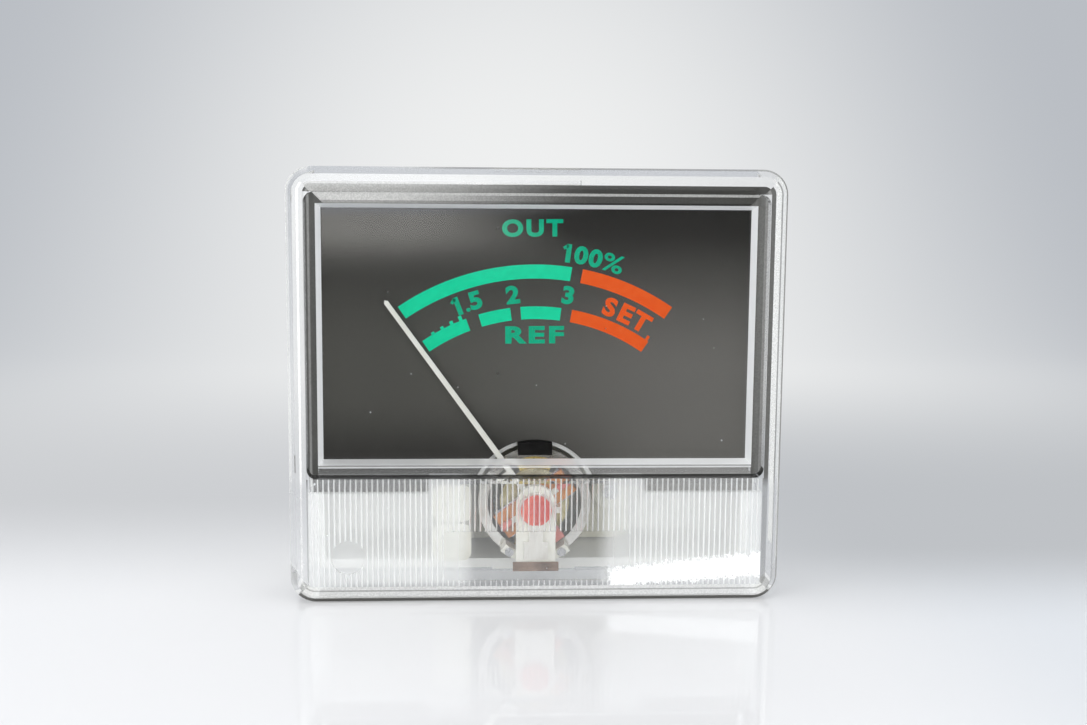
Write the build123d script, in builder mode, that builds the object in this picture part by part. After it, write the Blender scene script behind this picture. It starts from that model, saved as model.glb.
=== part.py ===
from build123d import *
import math
import os

# A moving-coil panel meter. Millimetres. X is right, Y is back, Z is up.
# The origin is the centre of the bezel in the plane of its back rim, which seats on the panel.

# Front cover: rim and skirt
bezel_width = 55.0
bezel_height = 48.5
bezel_depth = 9.0
bezel_corner = 2.8
bezel_wall = 2.0
rim_chamfer = 0.8
cavity_corner = 1.2

# Window, stepped back from the rim to a ledge and then to the pane
window_side_margin = 2.0
window_top_margin = 2.75
window_rise = 3.96
window_corner = 1.1
ledge_depth = 1.6
ledge_side = 1.1
ledge_top = 1.25
ledge_bottom = 1.2
pane_depth = 1.3
pane_draft = 0.5
pane_thickness = 0.9

# Ribbed lower panel, with a smooth pad and a round gate mark
panel_thickness = 1.4
pocket_gap = 0.8
rib_pitch = 0.6
rib_groove_width = 0.18
rib_groove_depth = 0.13
rib_side_margin = 0.1
rib_base_margin = 1.85
pad_width = 20.9
pad_height = 5.6
pad_lift = 5.35
pad_raise = 0.12
pad_corner = 0.5
gate_inset = 6.45
gate_lift = 5.21
gate_r = 1.9
gate_depth = 0.24

# Latches between the cover and the housing, top and bottom
latch_width = 10.0
latch_length = 1.7
latch_height = 0.6
latch_y = -1.2
latch_play = 0.2

# Rear housing
housing_gap = 0.2
housing_front = -2.1
housing_back = 13.0
housing_wall = 1.1
housing_back_wall = 1.4
housing_corner = 1.0
housing_chamfer = 0.5
boss_r = 1.7
boss_length = 1.0

# Dial plate and the light box that carries it
dial_side_gap = 0.2
dial_top_gap = 0.35
dial_rise = 1.36
dial_notch_gap = 0.1
dial_notch_rise = 2.86
dial_thickness = 0.5
dial_arch_gap = 0.9
flange_thickness = 0.8
flange_margin = 0.1
box_side_margin = 2.3
box_top_margin = 1.3
box_lift = 2.16
box_depth = 10.1
box_wall = 1.0
carrier_arch_gap = 0.4
clamp_width = 0.9
clamp_height = 2.0

# Pivot axis, along Y: the ring clears the floor by its lift. The pointer rests at this angle from vertical
ring_lift = 0.19
rest_angle = -36.0

# Magnet system
ring_outer_r = 6.5
ring_wall = 1.1
ring_front = -3.4
ring_back = 5.9
core_gap = 1.4
core_front = -3.0
core_back = 3.9
support_gap = 0.03
support_half_angle = 25.0
support_front = -2.5

# Coil
coil_side_gap = 0.25
former_wall = 0.2
winding_wall = 0.4
former_width = 3.5
winding_width = 3.1
coil_play = 0.3

# Pivots and bearings
staff_r = 0.3
pivot_base_r = 1.2
pivot_base_height = 0.2
collet_r = 0.75
collet_height = 0.35
collet_front = -5.55
collet_rear = 5.5
pivot_tip_reach = 0.6
jewel_r = 0.5
jewel_height = 0.6
jewel_cup_r = 0.42
jewel_cup_depth = 0.45
jewel_proud = 0.1
screw_r = 0.9
screw_gap = 0.02
screw_play = 0.1
screw_head_r = 1.75
screw_head_height = 0.35
screw_slot_width = 0.5
screw_slot_depth = 0.18

# Pointer, its arms and weights
pointer_front = -4.58
pointer_back = -4.33
pointer_reach = 29.0
pointer_base_half = 0.33
pointer_tip_half = 0.26
hub_r = 1.0
hub_height = 0.6
hub_gap = 0.02
arm_reach = 4.7
arm_width = 0.6
tail_reach = 4.9
tail_width = 0.8
tab_r = 4.9
tab_width = 0.5
tab_reach = 2.3
weight_r = 0.45
weight_length = 1.5
weight_gap = 0.02
tail_weight_width = 1.3
tail_weight_length = 2.1

# Front bridge, its screws and the contact strip under it
bridge_front = -6.7
bridge_back = -5.7
bridge_half_width = 2.24
bridge_rise = 0.5
foot_margin = 0.05
foot_half_angle = 38.0
bridge_screw_angle = 30.0
bridge_screw_r = 0.3
bridge_screw_head_r = 0.5
bridge_screw_head = 0.3
bridge_screw_length = 3.3
strip_thickness = 0.2
strip_half_width = 2.6
strip_drop = 6.04
strip_lip = 0.2
strip_run_half = 1.2
riser_height = 1.35
riser_width = 1.4
riser_margin = 0.7
riser_gap = 0.6

# Zero lever and hairsprings
lever_front = -7.05
lever_back = -6.75
lever_bore_gap = 0.1
lever_ring_r = 2.0
lever_neck_half = 0.8
lever_tab_half = 1.35
lever_tab_drop = 3.64
lever_tab_length = 2.05
finger_width = 0.4
finger_half_height = 0.35
spring_inner_r = 0.85
spring_pitch = 0.6
spring_half_turns = 5
spring_strip = 0.08
spring_height = 0.25
spring_seat_gap = 0.02
tag_half_height = 0.5
tag_thickness = 0.25

# Movement frame
frame_thickness = 1.2
frame_margin = 0.5
frame_edge = 0.2
frame_rise = 2.76
frame_drop = 6.54
frame_boss_r = 2.2
frame_boss_length = 1.5
post_front = -4.4
post_gap = 0.8
post_width = 4.4
post_height = 4.3
upper_post_rise = 0.16
lower_post_drop = 4.34
post_corner = 1.0
right_boss_length = 3.0
frame_screw_gap = 2.9
frame_screw_r = 0.95
frame_screw_head_r = 1.9
frame_screw_head = 0.9
frame_screw_bite = 5.0
screw_post_r = 2.4
cross_slot_width = 0.5
cross_slot_depth = 0.45

# Terminals and lamp
terminal_x = 5.5
terminal_r = 0.6
terminal_stem_side = 0.8
terminal_reach = 5.2
collar_r = 1.1
collar_height = 0.4
pin_play = 0.03
pin_tip_chamfer = 0.2
holder_half = 2.0
holder_y = 3.0
holder_lift = 0.26
holder_height = 3.9
shield_half = 1.95
shield_gap = 0.05
shield_lip = 0.45
shield_arm = 0.3
shield_drop = 1.1
bulb_r = 1.5
bulb_length = 7.4
bulb_seat = 2.0
bulb_chamfer = 0.7
lamp_pin_x = 1.3
lamp_pin_lift = 1.1
lamp_pin_r = 0.4
lamp_stem_side = 0.5
lamp_boss_margin = 1.1
lamp_collar_r = 0.7
lamp_pin_reach = 4.0

# Places worked out from the sizes above
cavity_width = bezel_width - 2 * bezel_wall
cavity_height = bezel_height - 2 * bezel_wall
bezel_bottom = -bezel_height / 2
housing_width = cavity_width - 2 * housing_gap
housing_height = cavity_height - 2 * housing_gap
floor_z = -housing_height / 2 + housing_wall
axis_z = floor_z + strip_thickness + ring_lift + ring_outer_r
window_half_width = bezel_width / 2 - window_side_margin
window_top = bezel_height / 2 - window_top_margin
window_bottom = axis_z + window_rise
rib_half_span = window_half_width - rib_side_margin
rib_bottom = bezel_bottom + rib_base_margin
pad_z = bezel_bottom + pad_lift
gate_x = gate_inset - bezel_width / 2
gate_z = bezel_bottom + gate_lift
front_y = -bezel_depth
ledge_y = front_y + ledge_depth
pane_y = ledge_y + pane_depth
pane_back = pane_y + pane_thickness
panel_back = front_y + panel_thickness
pocket_top = window_bottom - pocket_gap
inner_back = housing_back - housing_back_wall
flange_back = housing_front
flange_front = flange_back - flange_thickness
dial_front = flange_front - dial_thickness
box_back = flange_back + box_depth
ring_inner_r = ring_outer_r - ring_wall
core_r = ring_inner_r - core_gap
coil_half_width = core_r + coil_side_gap
foot_inner_r = ring_inner_r + foot_margin
foot_outer_r = ring_outer_r - foot_margin
post_x = -ring_outer_r - post_gap - post_width / 2
frame_r = ring_outer_r + frame_margin
frame_half_width = ring_outer_r + post_gap + post_width + frame_edge
frame_screw_x = ring_outer_r + frame_screw_gap
dial_half_width = cavity_width / 2 - dial_side_gap
dial_top = cavity_height / 2 - dial_top_gap
dial_bottom = axis_z + dial_rise
dial_notch_top = axis_z + dial_notch_rise
dial_notch_half = frame_half_width + dial_notch_gap
dial_arch_r = ring_outer_r + dial_arch_gap
carrier_arch_r = ring_outer_r + carrier_arch_gap
box_half_width = dial_half_width - box_side_margin
box_top = dial_top - box_top_margin
box_bottom = axis_z + ring_outer_r + box_lift
former_front = core_front - coil_play - former_wall
former_back = core_back + coil_play + former_wall
winding_front = former_front - winding_wall
winding_back = former_back + winding_wall
former_half = coil_half_width + former_wall
winding_half = former_half + winding_wall
frame_front = ring_back
frame_top = axis_z + frame_rise
frame_bottom = axis_z - frame_drop
upper_post_z = axis_z + upper_post_rise
lower_post_z = axis_z - lower_post_drop
frame_back = frame_front + frame_thickness
boss_back = frame_back + frame_boss_length
spring_outer_r = spring_inner_r + spring_half_turns * spring_pitch / 2
stud_x = spring_outer_r + spring_strip / 2 + spring_seat_gap
riser_y = boss_back + riser_gap
tag_back = frame_back + tag_thickness
jewel_rear_y = bridge_back - jewel_proud
rear_jewel_y = frame_front
strip_top = axis_z - strip_drop
lever_tab_top = axis_z - lever_tab_drop
lever_tab_bottom = lever_tab_top - lever_tab_length
holder_bottom = axis_z + ring_outer_r + holder_lift
holder_top = holder_bottom + holder_height
shield_front = ring_front - shield_gap - shield_lip
lamp_pin_z = holder_bottom + lamp_pin_lift
boss_outer = housing_back + boss_length
terminal_stem_hole = terminal_stem_side + 2 * pin_play
lamp_stem_hole = lamp_stem_side + 2 * pin_play


def across(depth):
    """The plane parallel to the dial at this depth, with X right and Z up, facing the viewer."""
    return Plane.XZ.offset(-depth)


def on_axis(depth):
    """The same plane, centred on the pivot axis."""
    return Plane((0, depth, axis_z), x_dir=(1, 0, 0), z_dir=(0, -1, 0))


def swung(depth):
    """The same plane, turned so that its Y runs along the resting pointer."""
    turn = math.radians(rest_angle)
    across_arm = (math.cos(turn), 0, -math.sin(turn))
    return Plane((0, depth, axis_z), x_dir=across_arm, z_dir=(0, -1, 0))


def coil_plane():
    """The plane of the coil's loop: X across the pointer, Y along the pivot axis."""
    turn = math.radians(rest_angle)
    across_arm = (math.cos(turn), 0, -math.sin(turn))
    return Plane((0, 0, axis_z), x_dir=across_arm, z_dir=(math.sin(turn), 0, math.cos(turn)))


pivot_axis = Axis((0, 0, axis_z), (0, 1, 0))
axis_profile = Plane.XY.offset(axis_z)


def sector(inner_r, outer_r, half_angle, middle):
    """A ring sector about the origin of the sketch, its middle at this angle from the X axis."""
    reach = 3 * outer_r
    low = math.radians(middle - half_angle)
    high = math.radians(middle + half_angle)
    Circle(outer_r)
    Circle(inner_r, mode=Mode.SUBTRACT)
    Polygon(
        (0, 0),
        (reach * math.cos(low), reach * math.sin(low)),
        (reach * math.cos(high), reach * math.sin(high)),
        align=None,
        mode=Mode.INTERSECT,
    )


# Front cover: one clear moulding
window_width = 2 * window_half_width
window_height = window_top - window_bottom
window_z = (window_top + window_bottom) / 2
pane_opening_width = window_width - 2 * ledge_side
pane_opening_top = window_top - ledge_top
pane_opening_bottom = window_bottom + ledge_bottom
pane_opening_height = pane_opening_top - pane_opening_bottom
pane_opening_z = (pane_opening_top + pane_opening_bottom) / 2
rib_count = int(2 * rib_half_span / rib_pitch)
with BuildPart() as front_cover:
    with BuildSketch(across(0)):
        RectangleRounded(bezel_width, bezel_height, bezel_corner)
    extrude(amount=bezel_depth)
    chamfer(front_cover.faces().sort_by(Axis.Y)[0].edges(), rim_chamfer)
    with BuildSketch(across(0)):
        RectangleRounded(cavity_width, cavity_height, cavity_corner)
    extrude(amount=-pane_back, mode=Mode.SUBTRACT)
    pocket_height = pocket_top + cavity_height / 2
    with BuildSketch(across(pane_back)):
        with Locations((0, pocket_top - pocket_height / 2)):
            RectangleRounded(cavity_width, pocket_height, cavity_corner)
    extrude(amount=pane_back - panel_back, mode=Mode.SUBTRACT)
    # The window's two steps
    with BuildSketch(across(ledge_y)):
        with Locations((0, window_z)):
            RectangleRounded(window_width, window_height, window_corner)
    extrude(amount=ledge_depth, mode=Mode.SUBTRACT)
    with BuildSketch(across(ledge_y)):
        with Locations((0, pane_opening_z)):
            Rectangle(pane_opening_width, pane_opening_height)
    with BuildSketch(across(pane_y)):
        with Locations((0, pane_opening_z)):
            Rectangle(pane_opening_width - 2 * pane_draft, pane_opening_height - 2 * pane_draft)
    loft(mode=Mode.SUBTRACT)
    # Ribs: V grooves that run up into the window's lower edge
    with BuildSketch(Plane.XY.offset(rib_bottom)):
        with Locations((0, front_y)):
            with GridLocations(rib_pitch, 0, rib_count, 1):
                Polygon(
                    (-rib_groove_width / 2, 0),
                    (-rib_groove_width / 2, -rib_groove_depth),
                    (rib_groove_width / 2, -rib_groove_depth),
                    (rib_groove_width / 2, 0),
                    (0, rib_groove_depth),
                    align=None,
                )
    extrude(amount=window_bottom - rib_bottom, mode=Mode.SUBTRACT)
    with BuildSketch(across(front_y + 2 * rib_groove_depth)):
        with Locations((0, pad_z)):
            RectangleRounded(pad_width, pad_height, pad_corner)
    extrude(amount=2 * rib_groove_depth + pad_raise)
    with BuildSketch(across(front_y)):
        with Locations((gate_x, gate_z)):
            Circle(gate_r)
    extrude(amount=-gate_depth, mode=Mode.SUBTRACT)
    # Latch pockets in the skirt, and the pads that hold the dial back
    for side in (-1, 1):
        with Locations((0, latch_y, side * (cavity_height + latch_height) / 2)):
            Box(latch_width, latch_length, latch_height, mode=Mode.SUBTRACT)
    clamp_length = dial_front - pane_back
    clamp_x = (cavity_width - clamp_width) / 2
    clamp_high = (cavity_height - clamp_height) / 2
    clamp_low = window_bottom + clamp_height / 2
    for x in (-clamp_x, clamp_x):
        for z in (clamp_low, clamp_high):
            with Locations((x, pane_back + clamp_length / 2, z)):
                Box(clamp_width, clamp_length, clamp_height)
front_cover.part.label = "front_cover"

# Rear housing: a white box whose front edge slips inside the cover's skirt
with BuildPart() as rear_housing:
    with BuildSketch(across(housing_back)):
        RectangleRounded(housing_width, housing_height, housing_corner)
    extrude(amount=housing_back - housing_front)
    chamfer(rear_housing.faces().sort_by(Axis.Y)[-1].edges(), housing_chamfer)
    with BuildSketch(across(inner_back)):
        Rectangle(housing_width - 2 * housing_wall, housing_height - 2 * housing_wall)
    extrude(amount=inner_back - housing_front, mode=Mode.SUBTRACT)
    with BuildSketch(across(inner_back)):
        with Locations((-frame_screw_x, axis_z), (frame_screw_x, axis_z)):
            Circle(screw_post_r)
    extrude(amount=inner_back - frame_back)
    with BuildSketch(across(housing_back)):
        with Locations((-frame_screw_x, axis_z), (frame_screw_x, axis_z)):
            Circle(frame_screw_r + screw_play)
    extrude(amount=housing_back - frame_back, mode=Mode.SUBTRACT)
    with BuildSketch(across(boss_outer)):
        with Locations((-terminal_x, axis_z), (terminal_x, axis_z)):
            Circle(boss_r)
        with Locations((0, lamp_pin_z)):
            Rectangle(2 * (lamp_pin_x + lamp_boss_margin), 2 * lamp_boss_margin)
    extrude(amount=boss_length)
    with BuildSketch(across(boss_outer)):
        with Locations((-terminal_x, axis_z), (terminal_x, axis_z)):
            Rectangle(terminal_stem_hole, terminal_stem_hole)
        with Locations((-lamp_pin_x, lamp_pin_z), (lamp_pin_x, lamp_pin_z)):
            Rectangle(lamp_stem_hole, lamp_stem_hole)
    extrude(amount=boss_length + housing_back_wall, mode=Mode.SUBTRACT)
    for side in (-1, 1):
        lug_height = latch_height - latch_play
        with Locations((0, latch_y, side * (housing_height + lug_height) / 2)):
            Box(latch_width - 2 * latch_play, latch_length - 2 * latch_play, lug_height)
rear_housing.part.label = "rear_housing"

# Light box: the flange that carries the dial, with a white box behind it for the lamp
flange_half_width = dial_half_width + flange_margin
flange_top = dial_top + flange_margin
with BuildPart() as dial_carrier:
    with BuildSketch(across(flange_back)) as flange_face:
        with Locations((0, (flange_top + dial_bottom) / 2)):
            Rectangle(2 * flange_half_width, flange_top - dial_bottom)
        fillet(flange_face.vertices().group_by(Axis.Y)[-1], cavity_corner)
        with Locations((0, (dial_notch_top + dial_bottom) / 2)):
            Rectangle(2 * dial_notch_half, dial_notch_top - dial_bottom, mode=Mode.SUBTRACT)
    extrude(amount=flange_thickness)
    with BuildSketch(across(box_back)):
        with Locations((0, (box_top + box_bottom) / 2)):
            Rectangle(2 * box_half_width, box_top - box_bottom)
    extrude(amount=box_depth)
    with BuildSketch(across(box_back - box_wall)):
        with Locations((0, (box_top + box_bottom) / 2)):
            Rectangle(2 * (box_half_width - box_wall), box_top - box_bottom - 2 * box_wall)
    extrude(amount=box_depth - box_wall + flange_thickness, mode=Mode.SUBTRACT)
    with BuildSketch(on_axis(flange_back)):
        Circle(carrier_arch_r)
    extrude(amount=flange_thickness, mode=Mode.SUBTRACT)
    notch_height = box_bottom - axis_z
    with Locations((0, flange_back - flange_thickness / 2, axis_z + notch_height / 2)):
        Box(2 * (holder_half + pin_play), flange_thickness, notch_height, mode=Mode.SUBTRACT)
    with Locations((0, holder_y, box_bottom + box_wall / 2)):
        Box(
            2 * (holder_half + pin_play),
            2 * (holder_half + pin_play),
            box_wall,
            mode=Mode.SUBTRACT,
        )
dial_carrier.part.label = "dial_carrier"

# Dial plate: a thin sheet with an arch cut out round the movement
with BuildPart() as dial_plate:
    with BuildSketch(across(flange_front)) as dial_face:
        with Locations((0, (dial_top + dial_bottom) / 2)):
            Rectangle(2 * dial_half_width, dial_top - dial_bottom)
        fillet(dial_face.vertices().group_by(Axis.Y)[-1], cavity_corner)
        with Locations((0, (dial_notch_top + dial_bottom) / 2)):
            Rectangle(2 * dial_notch_half, dial_notch_top - dial_bottom, mode=Mode.SUBTRACT)
        with Locations((0, axis_z)):
            Circle(dial_arch_r, mode=Mode.SUBTRACT)
    extrude(amount=dial_thickness)
dial_plate.part.label = "dial_plate"

# Movement frame: the white back plate with its posts, bosses and rear bearing
with BuildPart() as movement_frame:
    with BuildSketch(across(frame_back)):
        with Locations((0, (frame_top + frame_bottom) / 2)):
            RectangleRounded(2 * frame_half_width, frame_top - frame_bottom, post_corner)
        with Locations((0, axis_z)):
            Circle(frame_r)
        with Locations((0, frame_bottom - frame_r)):
            Rectangle(2 * frame_r, 2 * frame_r, mode=Mode.SUBTRACT)
    extrude(amount=frame_thickness)
    with BuildSketch(across(frame_front)):
        with Locations((post_x, upper_post_z), (post_x, lower_post_z)):
            RectangleRounded(post_width, post_height, post_corner)
    extrude(amount=frame_front - post_front)
    with BuildSketch(across(frame_front)):
        with Locations((frame_screw_x, axis_z)):
            Circle(frame_boss_r)
    extrude(amount=right_boss_length)
    with BuildSketch(on_axis(boss_back)):
        Circle(frame_boss_r)
    extrude(amount=frame_boss_length)
    with BuildSketch(on_axis(boss_back)):
        Circle(screw_r + screw_gap)
    extrude(amount=boss_back - frame_front, mode=Mode.SUBTRACT)
    with BuildSketch(across(frame_back)):
        with Locations((-frame_screw_x, axis_z), (frame_screw_x, axis_z)):
            Circle(frame_screw_r + screw_gap)
    extrude(amount=frame_screw_bite, mode=Mode.SUBTRACT)
    with BuildSketch(on_axis(frame_back)):
        with Locations((stud_x + finger_width / 2, 0)):
            Rectangle(finger_width + 2 * pin_play, 2 * (finger_half_height + pin_play))
    extrude(amount=frame_thickness, mode=Mode.SUBTRACT)
movement_frame.part.label = "movement_frame"

# Magnet system
bridge_screw_mid_r = (foot_inner_r + foot_outer_r) / 2
with BuildPart() as yoke_ring:
    with BuildSketch(on_axis(ring_back)):
        Circle(ring_outer_r)
        Circle(ring_inner_r, mode=Mode.SUBTRACT)
    extrude(amount=ring_back - ring_front)
    with BuildSketch(on_axis(ring_front)):
        with PolarLocations(
            bridge_screw_mid_r, 2, -90 - bridge_screw_angle, 4 * bridge_screw_angle
        ):
            Circle(bridge_screw_r + pin_play)
    extrude(amount=ring_front - bridge_back - bridge_screw_length, mode=Mode.SUBTRACT)
yoke_ring.part.label = "yoke_ring"

with BuildPart() as core_magnet:
    with BuildSketch(on_axis(core_back)):
        Circle(core_r)
    extrude(amount=core_back - core_front)
core_magnet.part.label = "core_magnet"

with BuildPart() as core_supports:
    for middle in (90, -90):
        with BuildSketch(on_axis(ring_back)):
            sector(
                core_r + support_gap, ring_inner_r - support_gap, support_half_angle, middle
            )
        extrude(amount=ring_back - support_front)
core_supports.part.label = "core_supports"

# Coil: an aluminium former with its winding, a loop round the core
loop_y = (former_front + former_back) / 2
with BuildPart() as coil_former:
    with BuildSketch(coil_plane()):
        with Locations((0, loop_y)):
            Rectangle(2 * former_half, former_back - former_front)
            Rectangle(
                2 * coil_half_width,
                former_back - former_front - 2 * former_wall,
                mode=Mode.SUBTRACT,
            )
    extrude(amount=former_width / 2, both=True)
coil_former.part.label = "coil_former"

with BuildPart() as coil_winding:
    with BuildSketch(coil_plane()):
        with Locations((0, loop_y)):
            RectangleRounded(2 * winding_half, winding_back - winding_front, winding_wall)
            Rectangle(2 * former_half, former_back - former_front, mode=Mode.SUBTRACT)
    extrude(amount=winding_width / 2, both=True)
coil_winding.part.label = "coil_winding"


def pivot_profile(base_y, collet_end, out):
    """Half the outline of a pivot, from its base on the coil out along Y to its tip."""
    neck = collet_end - out * collet_height
    Polygon(
        (0, base_y),
        (pivot_base_r, base_y),
        (pivot_base_r, base_y + out * pivot_base_height),
        (staff_r, base_y + out * pivot_base_height),
        (staff_r, neck),
        (collet_r, neck),
        (collet_r, collet_end),
        (staff_r, collet_end),
        (staff_r, collet_end + out * staff_r / 3),
        (0, collet_end + out * pivot_tip_reach),
        align=None,
    )


with BuildPart() as front_pivot:
    with BuildSketch(axis_profile):
        pivot_profile(winding_front, collet_front, -1)
    revolve(axis=pivot_axis)
front_pivot.part.label = "front_pivot"

with BuildPart() as rear_pivot:
    with BuildSketch(axis_profile):
        pivot_profile(winding_back, collet_rear, 1)
    revolve(axis=pivot_axis)
rear_pivot.part.label = "rear_pivot"


def jewel_profile(mouth_y, out):
    """Half the outline of a cupped jewel whose mouth is at this depth."""
    Polygon(
        (jewel_cup_r, mouth_y),
        (jewel_r, mouth_y),
        (jewel_r, mouth_y + out * jewel_height),
        (0, mouth_y + out * jewel_height),
        (0, mouth_y + out * jewel_cup_depth),
        align=None,
    )


with BuildPart() as front_jewel:
    with BuildSketch(axis_profile):
        jewel_profile(jewel_rear_y, -1)
    revolve(axis=pivot_axis)
front_jewel.part.label = "front_jewel"

with BuildPart() as rear_jewel:
    with BuildSketch(axis_profile):
        jewel_profile(rear_jewel_y, 1)
    revolve(axis=pivot_axis)
rear_jewel.part.label = "rear_jewel"

# Bearing screws: the front one has the wide lacquered head
with BuildPart() as front_jewel_screw:
    with BuildSketch(on_axis(jewel_rear_y)):
        Circle(screw_r)
    extrude(amount=jewel_rear_y - lever_front)
    with BuildSketch(on_axis(lever_front)):
        Circle(screw_head_r)
    extrude(amount=screw_head_height)
    with BuildSketch(on_axis(jewel_rear_y)):
        Circle(jewel_r)
    extrude(amount=jewel_height, mode=Mode.SUBTRACT)
    with BuildSketch(on_axis(lever_front - screw_head_height)):
        Rectangle(screw_slot_width, 2 * screw_head_r)
    extrude(amount=-screw_slot_depth, mode=Mode.SUBTRACT)
front_jewel_screw.part.label = "front_jewel_screw"

with BuildPart() as rear_jewel_screw:
    with BuildSketch(on_axis(boss_back)):
        Circle(screw_r)
    extrude(amount=boss_back - rear_jewel_y)
    with BuildSketch(on_axis(rear_jewel_y)):
        Circle(jewel_r)
    extrude(amount=-jewel_height, mode=Mode.SUBTRACT)
    with BuildSketch(on_axis(boss_back)):
        Rectangle(screw_slot_width, 2 * screw_r)
    extrude(amount=screw_slot_depth, mode=Mode.SUBTRACT)
rear_jewel_screw.part.label = "rear_jewel_screw"

# Pointer: one thin sheet with its blade, tail, cross arms and side tab, and a hub on the staff
pointer_mid = (pointer_front + pointer_back) / 2
pointer_thickness = pointer_back - pointer_front
with BuildPart() as pointer:
    with BuildSketch(swung(pointer_back)):
        Polygon(
            (-pointer_base_half, 0),
            (pointer_base_half, 0),
            (pointer_tip_half, pointer_reach - pointer_tip_half),
            (0, pointer_reach),
            (-pointer_tip_half, pointer_reach - pointer_tip_half),
            align=None,
        )
        with Locations((0, -tail_reach / 2)):
            Rectangle(tail_width, tail_reach)
        Rectangle(2 * arm_reach, arm_width)
        with Locations((-tab_reach / 2, tab_r)):
            Rectangle(tab_reach, tab_width)
    extrude(amount=pointer_thickness)
    with BuildSketch(swung(pointer_mid + hub_height / 2)):
        Circle(hub_r)
    extrude(amount=hub_height)
    with BuildSketch(swung(pointer_mid + hub_height / 2)):
        Circle(staff_r + hub_gap)
    extrude(amount=hub_height, mode=Mode.SUBTRACT)
pointer.part.label = "pointer"

# Balance weights: two beads on the cross arms and a crimped block on the tail
def arm_plane(angle, reach):
    """A plane across an arm at this reach from the pivot, facing out, its X along the pivot axis."""
    turn = math.radians(angle)
    out = (math.sin(turn), 0, math.cos(turn))
    place = (reach * out[0], pointer_mid, axis_z + reach * out[2])
    return Plane(place, x_dir=(0, 1, 0), z_dir=out)


weight_slot = pointer_thickness + 2 * weight_gap
with BuildPart() as balance_weights:
    for angle in (rest_angle - 90, rest_angle + 90):
        with BuildSketch(arm_plane(angle, arm_reach - weight_length)):
            Circle(weight_r)
            Rectangle(weight_slot, arm_width + 2 * weight_gap, mode=Mode.SUBTRACT)
        extrude(amount=weight_length)
    with BuildSketch(arm_plane(rest_angle + 180, tail_reach - tail_weight_length)):
        Rectangle(2 * weight_r, tail_weight_width)
        Rectangle(weight_slot, tail_width + 2 * weight_gap, mode=Mode.SUBTRACT)
    extrude(amount=tail_weight_length)
balance_weights.part.label = "balance_weights"

# Front bridge: a tongue with a round top, on a curved foot screwed to the ring
strip_floor = floor_z + strip_thickness
tongue_top = axis_z + bridge_rise
with BuildPart() as front_bridge:
    with BuildSketch(across(bridge_back)):
        with Locations((0, tongue_top)):
            Circle(bridge_half_width)
        with Locations((0, (tongue_top + strip_floor) / 2)):
            Rectangle(2 * bridge_half_width, tongue_top - strip_floor)
        with Locations((0, axis_z)):
            Circle(screw_r + screw_gap, mode=Mode.SUBTRACT)
    extrude(amount=bridge_back - bridge_front)
    with BuildSketch(on_axis(ring_front)):
        sector(foot_inner_r, foot_outer_r, foot_half_angle, -90)
        with PolarLocations(
            bridge_screw_mid_r, 2, -90 - bridge_screw_angle, 4 * bridge_screw_angle
        ):
            Circle(bridge_screw_r + screw_gap, mode=Mode.SUBTRACT)
    extrude(amount=ring_front - bridge_back)
front_bridge.part.label = "front_bridge"

with BuildPart() as bridge_screws:
    with BuildSketch(on_axis(bridge_back)):
        with PolarLocations(
            bridge_screw_mid_r, 2, -90 - bridge_screw_angle, 4 * bridge_screw_angle
        ):
            Circle(bridge_screw_head_r)
    extrude(amount=bridge_screw_head)
    with BuildSketch(on_axis(bridge_back)):
        with PolarLocations(
            bridge_screw_mid_r, 2, -90 - bridge_screw_angle, 4 * bridge_screw_angle
        ):
            Circle(bridge_screw_r)
    extrude(amount=-bridge_screw_length)
bridge_screws.part.label = "bridge_screws"

# Hairsprings: flat spirals of half turns, wound from the collet out to a stud
front_spring_back = collet_front + (collet_height + spring_height) / 2
rear_spring_back = collet_rear - (collet_height - spring_height) / 2
rear_spring_front = rear_spring_back - spring_height


def half_turn(number, offset):
    """One half turn of the spiral, moved out by this offset."""
    radius = spring_inner_r + (number + 0.5) * spring_pitch / 2 + offset
    side = 1 if number % 2 == 0 else -1
    CenterArc((side * spring_pitch / 4, 0), radius, 180 if side > 0 else 0, -180)


def spiral_strip():
    """The outline of the flat spiral strip, as a face."""
    with BuildLine() as outline:
        for number in range(spring_half_turns):
            half_turn(number, spring_strip / 2)
            half_turn(number, -spring_strip / 2)
        for x in (-spring_inner_r, spring_outer_r):
            Line((x - spring_strip / 2, 0), (x + spring_strip / 2, 0))
    make_face(outline.edges())


def least_spring_gap():
    """The least gap between the strip's turns, measured on points of its centre line."""
    steps = 60
    points = []
    for number in range(spring_half_turns):
        radius = spring_inner_r + (number + 0.5) * spring_pitch / 2
        side = 1 if number % 2 == 0 else -1
        for step in range(steps):
            angle = math.pi * (1 - step / steps) if side > 0 else -math.pi * step / steps
            points.append(
                (side * spring_pitch / 4 + radius * math.cos(angle), radius * math.sin(angle))
            )
    return min(
        math.dist(points[i], points[j])
        for i in range(len(points))
        for j in range(i + steps, len(points))
    ) - spring_strip


print("least gap between hairspring turns", round(least_spring_gap(), 3))
with BuildPart() as front_hairspring:
    with BuildSketch(on_axis(front_spring_back)):
        spiral_strip()
    extrude(amount=spring_height)
front_hairspring.part.label = "front_hairspring"

with BuildPart() as rear_hairspring:
    with BuildSketch(on_axis(rear_spring_back)):
        spiral_strip()
    extrude(amount=spring_height)
rear_hairspring.part.label = "rear_hairspring"

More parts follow.
